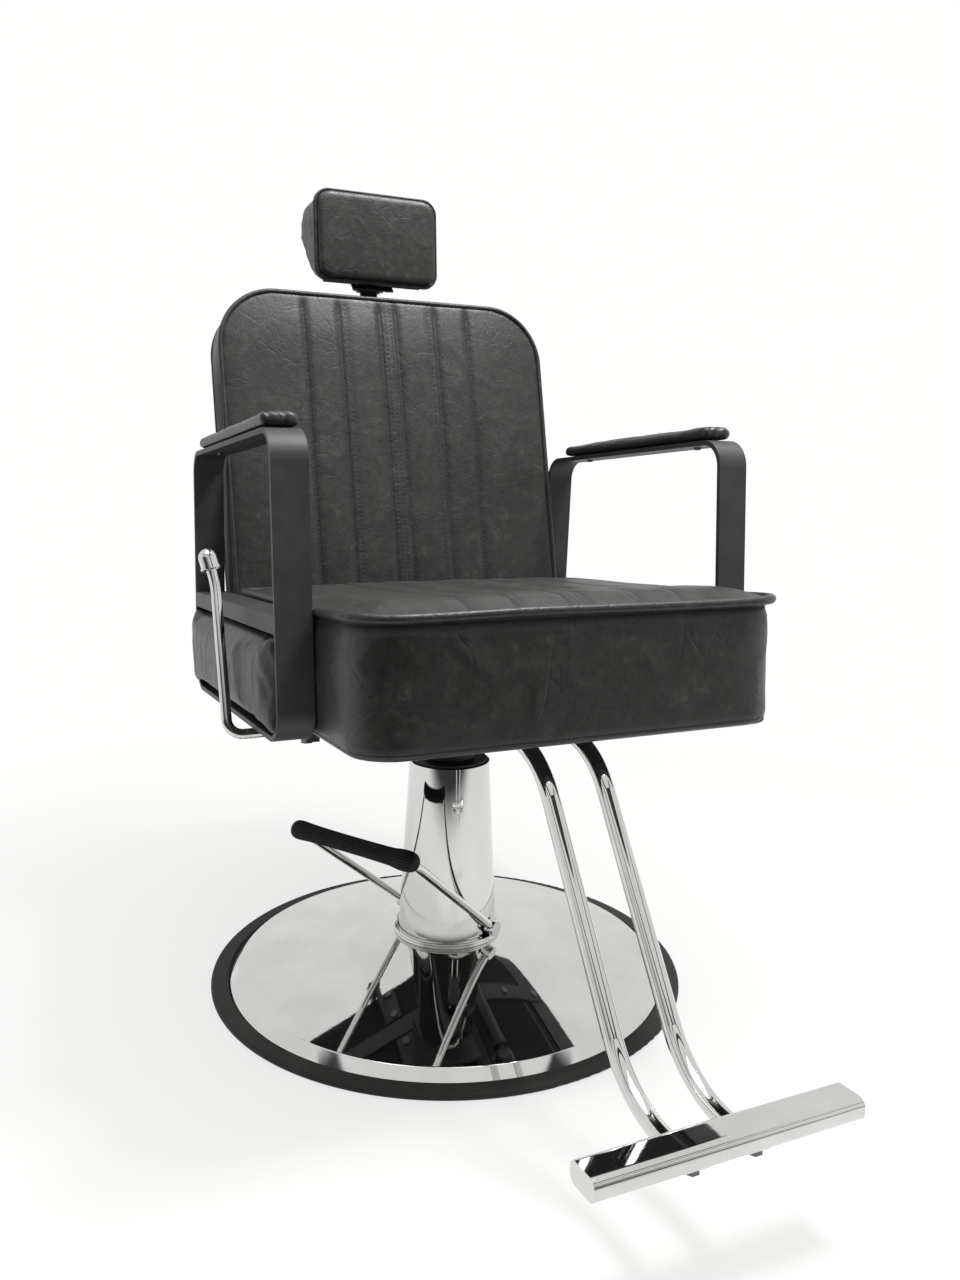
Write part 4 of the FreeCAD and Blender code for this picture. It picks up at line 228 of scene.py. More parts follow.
def roundedPath(low, high, corners, step):
    # points round a flat outline; corners go anticlockwise from the low corner
    signs = [(-1, -1), (1, -1), (1, 1), (-1, 1)]
    edge = [low, high]
    path = []
    for k, (sx, sy) in enumerate(signs):
        radius = corners[k]
        cx = (high[0] if sx > 0 else low[0]) - sx * radius
        cy = (high[1] if sy > 0 else low[1]) - sy * radius
        count = max(3, round(radius * math.pi / 2 / step))
        for j in range(count + 1):
            angle = math.radians(180 + 90 * k + 90 * j / count)
            path.append(Vector((cx + radius * math.cos(angle), cy + radius * math.sin(angle))))
    full = []
    for k, point in enumerate(path):
        after = path[(k + 1) % len(path)]
        pieces = max(1, round((after - point).length / step))
        full += [point.lerp(after, j / pieces) for j in range(pieces)]
    return full


weltStep = 0.006


def welt(name, path, radius):
    # a sewn piping: cover drawn round a filler cord
    curve = bpy.data.curves.new(name, "CURVE")
    curve.dimensions = "3D"
    line = curve.splines.new("POLY")
    line.points.add(len(path) - 1)
    for point, place in zip(line.points, path):
        point.co = (*place, 1)
    line.use_cyclic_u = True
    curve.bevel_depth = radius
    curve.bevel_resolution = 3
    curve.use_fill_caps = False
    piece = bpy.data.objects.new(name, curve)
    scene.collection.objects.link(piece)
    only(piece)
    bpy.ops.object.convert(target="MESH")
    piece = bpy.context.active_object
    bpy.ops.object.shade_smooth()
    return piece


def scatter(name, model, places):
    # one model repeated at many places, as a single mesh
    verts = []
    faces = []
    for place in places:
        start = len(verts)
        verts += [place @ v.co for v in model.data.vertices]
        faces += [[start + k for k in face.vertices] for face in model.data.polygons]
    mesh = bpy.data.meshes.new(name)
    mesh.from_pydata(verts, [], faces)
    piece = bpy.data.objects.new(name, mesh)
    scene.collection.objects.link(piece)
    bpy.data.objects.remove(model)
    only(piece)
    bpy.ops.object.shade_smooth()
    return piece


def oneStitch():
    bpy.ops.object.select_all(action="DESELECT")
    bpy.ops.mesh.primitive_uv_sphere_add(segments=6, ring_count=5, radius=1, rotation=(0, math.pi / 2, 0))
    piece = bpy.context.active_object
    bpy.ops.object.transform_apply(location=True, rotation=True, scale=True)
    for v in piece.data.vertices:
        v.co = Vector((v.co.x * sewing["threadLength"] / 2, v.co.y * sewing["threadRadius"],
                       v.co.z * sewing["threadRadius"] - 0.0002 * v.co.x * v.co.x))
    return piece


def stitchPlaces(surface, starts, toward):
    # stitches laid on a cover: each start is thrown toward the cover along one direction
    tree = BVHTree.FromObject(surface, bpy.context.evaluated_depsgraph_get())
    places = []
    for start, heading in starts:
        hit, normal, _, _ = tree.ray_cast(start, toward)
        if hit is None:
            continue
        if normal.dot(toward) > 0:
            normal = -normal
        run = (heading - normal * heading.dot(normal)).normalized()
        side = normal.cross(run)
        place = Matrix((run, side, normal)).transposed().to_4x4()
        place.translation = hit - normal * sewing["threadSink"]
        places.append(place)
    return places


def setDown(piece, place):
    # carries a piece made in a leaning frame to where it stands
    piece.data.transform(place)
    piece.data.update()


class Wire:
    def __init__(self, tree, socket):
        self.tree = tree
        self.socket = socket

    def node(self, kind, settings=None, inputs=None, output=0):
        made = self.tree.nodes.new(kind)
        for key, value in (settings or {}).items():
            setattr(made, key, value)
        for key, value in (inputs or {}).items():
            if isinstance(value, Wire):
                self.tree.links.new(value.socket, made.inputs[key])
            else:
                made.inputs[key].default_value = value
        return Wire(self.tree, made.outputs[output])

    def maths(self, operation, *values):
        return self.node("ShaderNodeMath", {"operation": operation}, dict(enumerate(values)))

    def __add__(self, other):
        return self.maths("ADD", self, other)

    def __radd__(self, other):
        return self.maths("ADD", other, self)

    def __sub__(self, other):
        return self.maths("SUBTRACT", self, other)

    def __rsub__(self, other):
        return self.maths("SUBTRACT", other, self)

    def __mul__(self, other):
        return self.maths("MULTIPLY", self, other)

    def __rmul__(self, other):
        return self.maths("MULTIPLY", other, self)

    def positive(self):
        return self.maths("ABSOLUTE", self)

    def root(self):
        return self.maths("SQRT", self)

    def remainder(self):
        return self.maths("FRACT", self)

    def least(self, other):
        return self.maths("MINIMUM", self, other)

    def most(self, other):
        return self.maths("MAXIMUM", self, other)

    def between(self, low, high):
        return self.node("ShaderNodeMapRange", {"interpolation_type": "SMOOTHSTEP"},
                         {"Value": self, "From Min": low, "From Max": high})

    def stretched(self, *scale):
        return self.node("ShaderNodeVectorMath", {"operation": "MULTIPLY"}, {0: self, 1: scale})

    def shifted(self, other, amount):
        moved = self.node("ShaderNodeVectorMath", {"operation": "SCALE"}, {0: other, "Scale": amount})
        return self.node("ShaderNodeVectorMath", {"operation": "ADD"}, {0: self, 1: moved})

    def cloud(self, scale, detail=3.0, roughness=0.5, output=0):
        return self.node("ShaderNodeTexNoise", None, {
            "Vector": self, "Scale": scale, "Detail": detail, "Roughness": roughness}, output)

    def cells(self, scale, feature="DISTANCE_TO_EDGE"):
        return self.node("ShaderNodeTexVoronoi", {"feature": feature}, {"Vector": self, "Scale": scale})

    def blend(self, first, second):
        return self.node("ShaderNodeMix", {"data_type": "RGBA"}, {
            "Factor": self, 6: (*first, 1) if isinstance(first, tuple) else first,
            7: (*second, 1) if isinstance(second, tuple) else second}, 2)

    def bump(self, strength, distance, under=None):
        inputs = {"Height": self, "Strength": strength, "Distance": distance}
        if under:
            inputs["Normal"] = under
        return self.node("ShaderNodeBump", None, inputs)


def newFinish(name, **fixed):
    finish = bpy.data.materials.new(name)
    finish.use_nodes = True
    tree = finish.node_tree
    shader = tree.nodes["Principled BSDF"]
    for key, value in fixed.items():
        shader.inputs[key.replace("_", " ")].default_value = value
    where = tree.nodes.new("ShaderNodeTexCoord")
    return finish, Wire(tree, where.outputs["Object"])


def feed(finish, **wires):
    tree = finish.node_tree
    shader = tree.nodes["Principled BSDF"]
    for key, value in wires.items():
        tree.links.new(value.socket, shader.inputs[key.replace("_", " ")])
    return finish


def attribute(wire, name):
    return wire.node("ShaderNodeAttribute", {"attribute_name": name}, None, 2)


# seam is the near-black of the sewn seam lines, and also the colour of the painted shade in needle holes, channels,
# tucks and crease lines
hide = {"dark": (0.0105, 0.0109, 0.0094), "worn": (0.031, 0.0325, 0.0280), "seam": (0.003, 0.003, 0.003),
        "bloom": (0.066, 0.068, 0.060)}
sewing = {
    "rows": (0.129, 0.066, 0.0042), "channels": (0.129, 0.076, 0.0128), "pitch": 0.0064, "hole": 0.0015,
    "threadLength": 0.0042, "threadRadius": 0.00050, "threadSink": 0.0003, "seamReach": 0.02, "endGap": 0.014,
}


def nearest(across, places):
    # how far a point is from the closest of some lines, given in metres from the middle
    closest = (across - places[0]).positive()
    for place in places[1:]:
        closest = closest.least((across - place).positive())
    return closest


def leatherette(name):
    finish, here = newFinish(name, Specular_IOR_Level=0.5, Sheen_Weight=0.05, Sheen_Roughness=0.4)
    drift = here.cloud(9, 2, output=1)
    warped = here.shifted(drift, 0.05)
    marble = warped.cloud(32, 5, 0.62)
    clouds = warped.cloud(7, 3, 0.5)
    patches = here.shifted(here.cloud(30, 3, output=1), 0.03).cells(44, "SMOOTH_F1").between(0.25, 0.75)
    veins = warped.cells(16).between(0.0, 0.05)
    crackle = here.shifted(here.cloud(60, 2, output=1), 0.008).cells(120).between(0.0, 0.25)
    lines = here.shifted(here.cloud(26, 3, output=1), 0.035).cells(42).between(0.0, 0.07)
    mottle = warped.cloud(95, 4, 0.65)
    grain = here.cells(900, "F1")
    fine = here.cloud(1400, 2)
    # the face of the hide is a little paler where it has been rubbed
    wear = 0.18 * patches + 0.34 * mottle.between(0.35, 0.65) + 0.30 * marble.between(0.40, 0.68)
    bloom = mottle.between(0.52, 0.66) * marble.between(0.50, 0.66)
    colour = (0.45 * bloom).blend(wear.blend(hide["dark"], hide["worn"]), hide["bloom"])
    creases = (1 - veins) * clouds.between(0.46, 0.62)
    # the scored crease lines are also darkened in colour below, as painted shade
    scored = (1 - lines) * here.cloud(17, 2).between(0.42, 0.60)
    # pleats: soft channels and rows of needle holes along the marked faces
    across = attribute(here, "across").positive()
    lengthwise = attribute(here, "lengthwise")
    pleated = attribute(here, "pleated")
    tight = attribute(here, "tight")
    toChannel = nearest(across, sewing["channels"])
    toRow = nearest(across, sewing["rows"])
    step = ((lengthwise * (1 / sewing["pitch"])).remainder() - 0.5) * sewing["pitch"]
    reach = toRow * (1 - 0.45 * tight)
    # painted shade: each needle hole is darkened towards the near-black seam colour below
    hole = 1 - (reach * reach + step * step).root().between(0.55 * sewing["hole"], 1.7 * sewing["hole"])
    # painted shade: the channel grooves are darkened as well
    channel = 1 - toChannel.between(0.0002, 0.0042)
    gather = here.shifted(drift, 0.01).cloud(150, 2) * (1 - toChannel.between(0.002, 0.018))
    drawn = 1 - (attribute(here, "seam") - 0.5).positive().between(0.02, 0.08)
    # painted shade under the piping rolls and low on the back's sides between the arms, read from a mark; it also
    # raises roughness
    paintedShade = attribute(here, "paintedShade")
    # painted shade from the holes, channels, tucks and crease lines, together with the dark sewn seam lines, pulls
    # the colour towards near-black
    shade = (pleated * (0.95 * hole).most(0.66 * channel)).most(0.7 * drawn).most(0.85 * paintedShade).most(0.35 * scored)
    colour = shade.blend(colour, hide["seam"])
    rough = 0.31 + 0.12 * mottle + 0.14 * marble + 0.2 * shade + 0.25 * paintedShade
    height = (0.03 * grain + 0.02 * fine + 0.06 * crackle + 0.26 * marble + 0.20 * mottle + 0.06 * patches
              - (0.26 - 0.18 * pleated) * creases - 0.15 * scored - 0.5 * drawn
              + pleated * (0.6 * gather - 0.12 * hole - 0.8 * channel))
    return feed(finish, Base_Color=colour, Roughness=rough, Normal=height.bump(0.8, 0.001))


def threads():
    finish, here = newFinish("sewingThread", Specular_IOR_Level=0.0)
    twist = here.cloud(2600, 1)
    return feed(finish, Base_Color=twist.blend((0.003, 0.003, 0.003), (0.008, 0.008, 0.0075)),
                Roughness=0.8 + 0.2 * twist, Normal=twist.bump(0.5, 0.0003))


def dustCover():
    finish, here = newFinish("dustCover", Specular_IOR_Level=0.2)
    fibres = here.stretched(1, 0.12, 1).cloud(900, 3) + here.stretched(0.15, 1, 1).cloud(700, 3)
    return feed(finish, Base_Color=(fibres * 0.5).blend((0.010, 0.010, 0.010), (0.028, 0.028, 0.027)),
                Roughness=0.8 + 0.1 * fibres, Normal=fibres.bump(0.4, 0.0005))


def chromePlate(name="mirrorChrome", wear=1.0):
    finish, here = newFinish(name, Metallic=1.0)
    smear = here.stretched(1, 1, 0.35).cloud(12, 4, 0.6)
    hair = here.stretched(1, 1, 9).cloud(260, 2, 0.6)
    dust = here.cells(420, "F1").between(0.0, 0.16)
    tone = smear.between(0.3, 0.8).blend((0.63, 0.63, 0.615), (0.72, 0.72, 0.71))
    return feed(finish, Base_Color=tone, Roughness=0.035 + wear * (0.04 * smear.between(0.5, 0.85)
                + 0.05 * (1 - dust) * hair.between(0.45, 0.75)),
                Normal=(smear + 0.05 * hair).bump(0.05 * wear, 0.0015))


def powderCoat():
    finish, here = newFinish("satinBlackCoat", Specular_IOR_Level=0.5)
    peel = here.cloud(1100, 2)
    rubbed = here.cloud(24, 4, 0.6)
    dust = here.cloud(5, 3)
    colour = rubbed.between(0.35, 0.75).blend((0.026, 0.0262, 0.0250), (0.038, 0.0382, 0.0365))
    return feed(finish, Base_Color=colour, Roughness=0.42 + 0.12 * rubbed + 0.08 * dust,
                Normal=(peel + 0.4 * rubbed).bump(0.12, 0.0006))


def mouldedRubber(name, dark, pale, grit=700):
    finish, here = newFinish(name, Specular_IOR_Level=0.35)
    grains = here.cloud(grit, 3, 0.6)
    dusty = here.cloud(16, 4, 0.6).between(0.4, 0.8)
    return feed(finish, Base_Color=dusty.blend(dark, pale), Roughness=0.6 + 0.2 * grains,
                Normal=grains.bump(0.25, 0.0006))


def machinedSteel(name, dark, pale, rough):
    finish, here = newFinish(name, Metallic=1.0)
    lathe = here.stretched(1, 1, 14).cloud(180, 3, 0.6)
    oil = here.cloud(30, 3).between(0.35, 0.75)
    return feed(finish, Base_Color=(lathe * 0.6 + oil * 0.4).blend(dark, pale), Roughness=rough + 0.18 * oil,
                Normal=lathe.bump(0.15, 0.0004))


def castIron(name, dark, pale):
    finish, here = newFinish(name, Specular_IOR_Level=0.5)
    sand = here.cloud(420, 4, 0.65)
    patches = here.cloud(25, 3).between(0.35, 0.7)
    return feed(finish, Base_Color=patches.blend(dark, pale),
                Roughness=0.5 + 0.2 * sand, Normal=sand.bump(0.6, 0.0012))


def mouldedPlastic(name, rough):
    finish, here = newFinish(name, Specular_IOR_Level=0.45)
    spark = here.cloud(1500, 2)
    wipe = here.cloud(40, 3)
    return feed(finish, Base_Color=wipe.blend((0.016, 0.016, 0.017), (0.034, 0.034, 0.034)),
                Roughness=rough + 0.2 * wipe, Normal=spark.bump(0.2, 0.0004))


def sinteredBronze():
    finish, here = newFinish("sinteredBronze", Metallic=1.0)
    pores = here.cells(900, "F1")
    return feed(finish, Base_Color=pores.blend((0.36, 0.23, 0.11), (0.60, 0.42, 0.22)),
                Roughness=0.36 + 0.2 * pores, Normal=pores.bump(0.3, 0.0004))


hideFinish = leatherette("blackLeatherette")
threadFinish = threads()
coverFinish = dustCover()
chrome = chromePlate()
nodeFinish = {
    "rubber_trim": mouldedRubber("baseRubber", (0.018, 0.018, 0.016), (0.036, 0.036, 0.032)),
    "base_sheet": castIron("primedPlate", (0.045, 0.045, 0.047), (0.085, 0.085, 0.088)),
    "chrome": chrome,
    "black_cap": mouldedPlastic("capMoulding", 0.46),
    "bar_end": chromePlate("capChrome", 1.6),
    "casting": castIron("paintedCasting", (0.07, 0.07, 0.073), (0.13, 0.13, 0.135)),
    "bare_steel": machinedSteel("oiledSteel", (0.30, 0.30, 0.30), (0.50, 0.50, 0.49), 0.25),
    "seal": mouldedRubber("sealRubber", (0.012, 0.012, 0.012), (0.03, 0.03, 0.03)),
    "zinc_fastener": machinedSteel("blackZinc", (0.10, 0.10, 0.105), (0.22, 0.22, 0.23), 0.32),
    "bronze": sinteredBronze(),
    "black_steel": powderCoat(),
    "plywood": coverFinish,
    "upholstery": hideFinish,
    "grip_rubber": mouldedRubber("gripRubber", (0.006, 0.006, 0.006), (0.015, 0.015, 0.0145), 900),
    "black_knob": mouldedPlastic("knobMoulding", 0.40),
}

for part in frame["record"]["subparts"]:
    node = frame["nodes"][part["node"]]
    node.data.materials.clear()
    node.data.materials.append(nodeFinish[part["material_slot"]])
print("finishes are on the carried-over metal")


def dress(piece, finish, body, slot, *replaced, padded=None):
    piece.data.materials.clear()
    piece.data.materials.append(finish)
    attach(piece, body)
    if replaced:
        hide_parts(*replaced)
    return piece


seatLow, seatHigh = boxIn(seatPlace, "seat_cushion")
boardLow, boardHigh = boxIn(seatPlace, "seat_board")
seatLow.z = boardLow.z - 0.0004
armFront = boxIn(seatPlace, "arm_frame_right")[0].y
seat = {
    "inset": 0.0045, "frontCorner": 0.052, "rearCorner": 0.020, "topRound": 0.005, "footRound": 0.010,
    "voxel": 0.006, "sideSwell": 0.0050, "topSwell": 0.012, "channelWidth": 0.0070, "channelDepth": 0.0026,
    "weltRadius": 0.0052, "weltOut": 0.0034, "weltDrop": 0.0056, "weltWaver": 0.0024, "seamHeight": 0.0085,
    "betweenArms": 0.2573, "sewnRim": 0.012, "stapledFoot": 0.010, "topDrop": 0.003, "coverInset": 0.02,
    "crown": 0.003, "brow": 0.060, "browRise": 0.006, "topCrease": 0.0007, "topWave": 0.0012,
    "bandCrease": 0.0011, "bandWave": 0.0012, "seamTuck": 0.0009, "weltTuck": 0.0030,
}


def channelDepth(x, width):
    closest = min(abs(abs(x) - line) for line in sewing["channels"])
    between = bell(abs(x) - sewing["rows"][2], 0.006) + bell(abs(x) - sewing["rows"][1], 0.005)
    return max(bell(closest, width), 0.45 * min(1.0, between))


def wrinkle(place, scale, stretch=(1, 1, 1)):
    # ridges a few centimetres long, as in a cover drawn over foam
    spot = Vector([place[k] * stretch[k] for k in range(3)]) * scale
    drift = Vector((noise.noise(spot * 0.6), noise.noise(spot * 0.6 + Vector((7, 3, 1))), 0)) * 0.8
    ridge = 1 - abs(noise.noise(spot + drift)) * 2
    return max(0.0, ridge) ** 4 - 0.25


def seatCushion():
    low = seatLow + Vector((seat["inset"], seat["inset"], 0))
    high = seatHigh - Vector((seat["inset"], seat["inset"], seat["topDrop"]))
    piece = block("seatCushion", low, high)
    roundEdges(piece, lambda e: along(e, 2) and middle(e).y < 0, seat["frontCorner"], 10)
    roundEdges(piece, lambda e: along(e, 2) and middle(e).y > high.y - 0.001, seat["rearCorner"], 6)
    roundEdges(piece, lambda e: abs(middle(e).z - high.z) < 1e-5, seat["topRound"], 3)
    roundEdges(piece, lambda e: abs(middle(e).z - low.z) < 1e-5, seat["footRound"], 4)

    def rimDistance(place):
        return min(high.x - abs(place.x), place.y - low.y, high.y - place.y)

    def held(place):
        rim = place.z > high.z - seat["sewnRim"] and rimDistance(place) < seat["sewnRim"]
        return rim or place.z < low.z + seat["stapledFoot"]

    def cap(place):
        top = smooth01(high.z - 0.015, high.z - 0.002, place.z)
        return seat["sideSwell"] * (1 - top) + seat["topSwell"] * top

    puff(piece, seat["voxel"], cap, held)
    apply(piece, "SUBSURF", "finer", levels=1, render_levels=1)

    def shape(place, normal):
        facing = smooth01(0.5, 0.9, normal.z)
        inside = smooth01(0.004, 0.05, rimDistance(place))
        if facing > 0:
            ends = smooth01(0.0, 0.02, rimDistance(place))
            front = bell(place.y - (seatLow.y + seat["brow"]), seat["brow"])
            dent = seat["channelDepth"] * ends * channelDepth(place.x, seat["channelWidth"])
            place.z += facing * (inside * (seat["crown"] + seat["browRise"] * front) - dent)
            place.z += facing * inside * (seat["topCrease"] * wrinkle(place, 11, (1, 0.8, 1))
                                          + seat["topWave"] * noise.noise(place * 9))
        side = 1 - abs(normal.z)
        swell = wrinkle(place, 9, (1, 1, 1.6)) * seat["bandCrease"] + noise.noise(place * 6) * seat["bandWave"]
        height = smooth01(seatLow.z + 0.012, seatLow.z + 0.04, place.z)
        height *= 1 - smooth01(seatHigh.z - 0.03, seatHigh.z - 0.01, place.z)
        place += normal * side * swell * height
        # a drawn-in line just above the bottom edge, and the tuck beneath the piping
        foot = bell(place.z - (seatLow.z + seat["seamHeight"]), 0.0030)
        tuck = bell(place.z - (seatHigh.z - 0.014), 0.006)
        place -= normal * side * (seat["seamTuck"] * foot + seat["weltTuck"] * tuck)
        if place.y > armFront - 0.02:
            place.x = max(-seat["betweenArms"], min(seat["betweenArms"], place.x))
        return place

    sculpt(piece, shape)

    def onTop(place, normal):
        return smooth01(0.6, 0.9, normal.z) * smooth01(0.006, 0.016, rimDistance(place))

    mark(piece, "seam", lambda place, normal: seamAt(place.z - (seatLow.z + seat["seamHeight"])))
    # painted shade in the tuck under the piping roll
    mark(piece, "paintedShade", lambda place, normal: (1 - abs(normal.z)) * bell(place.z - (seatHigh.z - 0.0135), 0.0035))
    markPleats(piece, 1, onTop, lambda place: 0.3)
    return piece


def seatStitches(cover):
    pitch = sewing["pitch"]
    first = math.ceil((seatLow.y + sewing["endGap"]) / pitch)
    last = int((seatHigh.y - sewing["endGap"]) / pitch)
    starts = [(Vector((line * side, k * pitch, 0.7)), Vector((0, 1, 0)))
              for line in sewing["rows"] for side in (-1, 1) for k in range(first, last)]
    return scatter("seatStitches", oneStitch(), stitchPlaces(cover, starts, Vector((0, 0, -1))))


def seatWelt():
    path = []
    corners = (seat["frontCorner"], seat["frontCorner"], seat["rearCorner"], seat["rearCorner"])
    for point in roundedPath(seatLow, seatHigh, corners, weltStep):
        # the roll stands out over the band in front, and is pressed in between the arms
        free = 1 - smooth01(armFront - 0.03, armFront - 0.008, point.y)
        out = seat["weltOut"] * free - seat["weltRadius"] + 0.0001
        centre = Vector((0, (seatLow.y + seatHigh.y) / 2))
        half = Vector((seatHigh.x, (seatHigh.y - seatLow.y) / 2))
        place = Vector((centre.x + (point.x - centre.x) * (half.x + out) / half.x,
                        centre.y + (point.y - centre.y) * (half.y + out) / half.y,
                        seatHigh.z - seat["weltDrop"]
                        + seat["weltWaver"] * noise.noise(Vector((point.x, point.y, 0)) * 7)))
        path.append(place)
    return welt("seatPiping", path, seat["weltRadius"])


board = {"lowMargin": (0.010, 0.012, 0), "highMargin": (0.0004, 0, 0.0002), "edge": 0.0022}


def seatBoard():
    # covered board under the cushion, running back beneath the hinges
    piece = block("seatBoard", boardLow + Vector(board["lowMargin"]), boardHigh - Vector(board["highMargin"]))
    roundEdges(piece, lambda e: along(e, 2) and middle(e).y > 0, seat["rearCorner"], 6)
    roundEdges(piece, lambda e: along(e, 2) and middle(e).y < 0, seat["frontCorner"] - board["lowMargin"][0], 8)
    roundEdges(piece, lambda e: not along(e, 2), board["edge"], 3)
    return piece


cushion = seatCushion()
stitches = seatStitches(cushion)
piping = seatWelt()
underBoard = seatBoard()
for piece in (cushion, stitches, piping, underBoard):
    setDown(piece, seatPlace)
soften(underBoard)
dress(underBoard, coverFinish, "seat", "plywood", "seat_board")
soften(cushion, 60)
dress(cushion, hideFinish, "seat", "upholstery", "seat_cushion", padded=0.8)
cushion.data.materials.append(coverFinish)
downward = seatPlace.to_3x3() @ Vector((0, 0, -1))
for face in cushion.data.polygons:
    # the dust cover is stapled on inside the edge of the underside
    spot = seatPlace.inverted() @ face.center
    edge = min(seatHigh.x - abs(spot.x), spot.y - seatLow.y, seatHigh.y - spot.y)
    if face.normal.dot(downward) > 0.9 and edge > seat["coverInset"]:
        face.material_index = 1
dress(stitches, threadFinish, "seat", "upholstery")
dress(piping, hideFinish, "seat", "upholstery")
print("seat cushion, piping and stitches")


backLow, backHigh = boxIn(backPlace, "back_cushion", "back_board")
back = {
    "inset": 0.0018, "topCorner": 0.087, "footCorner": 0.006, "frontRound": 0.0045, "rearRound": 0.0045,
    "voxel": 0.006, "faceSwell": 0.009, "sideSwell": 0.0022, "channelWidth": 0.0060, "channelDepth": 0.0030,
    "weltRadius": 0.0036, "weltIn": 0.0034, "rearWelt": 0.0030, "topGap": 0.020, "sewnRim": 0.012,
    "armTop": (0.27, 0.35), "gathered": (0.04, 0.26), "weltLine": 0.0045, "weltWaver": 0.0010, "rearWaver": 0.0006,
    "stapledRear": 0.010, "faceCrease": 0.0003, "faceWave": 0.0014, "sideCrease": 0.0006, "weltTuck": 0.0016,
}


def backCushion():
    low = backLow + Vector((back["inset"], 0.0025, back["inset"]))
    high = backHigh - Vector((back["inset"], 0, back["inset"]))
    piece = block("backCushion", low, high)
    roundEdges(piece, lambda e: along(e, 1) and middle(e).z > 0.3, back["topCorner"] - back["inset"], 12)
    roundEdges(piece, lambda e: along(e, 1) and middle(e).z < 0.05, back["footCorner"] - back["inset"], 6)
    roundEdges(piece, lambda e: abs(middle(e).y - low.y) < 1e-5, back["frontRound"], 3)
    roundEdges(piece, lambda e: abs(middle(e).y - high.y) < 1e-5, back["rearRound"], 3)

    def rimDistance(place):
        # distance in from the rounded outline
        x = abs(place.x)
        radius = back["topCorner"] if place.z > 0.2 else back["footCorner"]
        centreX = high.x - radius
        centreZ = high.z - radius if place.z > 0.2 else low.z + radius
        beyond = place.z - centreZ if place.z > 0.2 else centreZ - place.z
        if x > centreX and beyond > 0:
            return radius - math.hypot(x - centreX, beyond)
        return min(high.x - x, high.z - place.z, place.z - low.z)

    def held(place):
        rim = place.y < low.y + back["sewnRim"] and rimDistance(place) < back["sewnRim"]
        return rim or place.y > high.y - back["stapledRear"]

    def cap(place):
        face = 1 - smooth01(low.y + 0.002, low.y + 0.015, place.y)
        return back["sideSwell"] * (1 - face) + back["faceSwell"] * face

    puff(piece, back["voxel"], cap, held)
    apply(piece, "SUBSURF", "finer", levels=1, render_levels=1)

    def shape(place, normal):
        facing = smooth01(0.5, 0.9, -normal.y)
        rim = rimDistance(place)
        if facing > 0:
            ends = smooth01(0.0, 0.025, rim)
            place.y += facing * ends * back["channelDepth"] * channelDepth(place.x, back["channelWidth"])
            waves = back["faceCrease"] * wrinkle(place, 9, (1, 1, 1.3)) + back["faceWave"] * noise.noise(place * 6)
            place.y -= facing * smooth01(0.01, 0.06, rim) * waves
        side = 1 - abs(normal.y)
        place += normal * side * back["sideCrease"] * wrinkle(place, 12, (1, 2, 1))
        tuck = bell(place.y - (backLow.y + 0.011), 0.0035) + bell(place.y - (backHigh.y - 0.010), 0.003)
        place -= normal * side * back["weltTuck"] * tuck
        return place

    sculpt(piece, shape)
    mark(piece, "seam", lambda place, normal: seamAt(place.y - (backHigh.y - 0.010)))

    def paintedShade(place, normal):
        # painted shade under the front piping, and painted shade low on the sides where the arms stand close, which
        # are also made duller
        between = 0.8 * (1 - smooth01(*back["armTop"], place.z)) * smooth01(0.5, 0.9, abs(normal.x))
        return max(bell(place.y - (backLow.y + 0.0095), 0.003) * (1 - abs(normal.y)), between)

    def onFace(place, normal):
        return smooth01(0.6, 0.9, -normal.y) * smooth01(0.006, 0.020, rimDistance(place))

    mark(piece, "paintedShade", paintedShade)
    markPleats(piece, 2, onFace, lambda place: 1 - smooth01(*back["gathered"], place.z))
    return piece


def backStitches(cover):
    pitch = sewing["pitch"]
    first = math.ceil((backLow.z + sewing["endGap"]) / pitch)
    last = int((backHigh.z - back["topGap"]) / pitch)
    starts = [(Vector((line * side, -0.2, k * pitch)), Vector((0, 0, 1)))
              for line in sewing["rows"] for side in (-1, 1) for k in range(first, last)]
    return scatter("backStitches", oneStitch(), stitchPlaces(cover, starts, Vector((0, 1, 0))))


def outlinePath(low, high, top, foot, inward, depth, waver):
    corners = (max(0.004, foot - inward), max(0.004, foot - inward), top - inward, top - inward)
    flat = roundedPath((low.x + inward, low.z + inward), (high.x - inward, high.z - inward), corners, weltStep)
    return [Vector((p.x, depth + waver * noise.noise(Vector((p.x, p.y, 1)) * 11), p.y)) for p in flat]


cushion = backCushion()
stitches = backStitches(cushion)
corners = (back["topCorner"], back["footCorner"])
front = outlinePath(backLow, backHigh, *corners, back["weltIn"], backLow.y + back["weltLine"], back["weltWaver"])
second = outlinePath(backLow, backHigh, *corners, back["weltIn"] + back["rearWaver"], backHigh.y - back["weltLine"],
                     back["rearWaver"])
front = welt("backPiping", front, back["weltRadius"])
second = welt("secondPiping", second, back["rearWelt"])
piping = join("backPiping", front, second)
for piece in (cushion, stitches, piping):
    setDown(piece, backPlace)
soften(cushion, 60)
dress(cushion, hideFinish, "back", "upholstery", "back_cushion", "back_board", padded=0.75)
dress(stitches, threadFinish, "back", "upholstery")
dress(piping, hideFinish, "back", "upholstery")
print("back cushion, piping and stitches")


headLow, headHigh = boxIn(seatPlace, "headrest_cushion")
head = {
    "inset": 0.0004, "foot": 0.003, "heelDepth": 0.026, "deepHeight": 0.077, "topDepth": 0.085, "voxel": 0.0045,
    "swell": 0.009, "topCorner": 0.021, "footCorner": 0.019, "frontRound": 0.007, "weltRadius": 0.0019,
    "weltDepth": 0.0064, "weltStep": 0.0055, "pathStep": 0.004, "sewnDepth": 0.014, "sewnRim": 0.012,
    "stapledRear": 0.006, "crown": 0.002, "faceCrease": 0.0003, "faceWave": 0.0010, "sideCrease": 0.0006,
    "weltTuck": 0.0012,
}


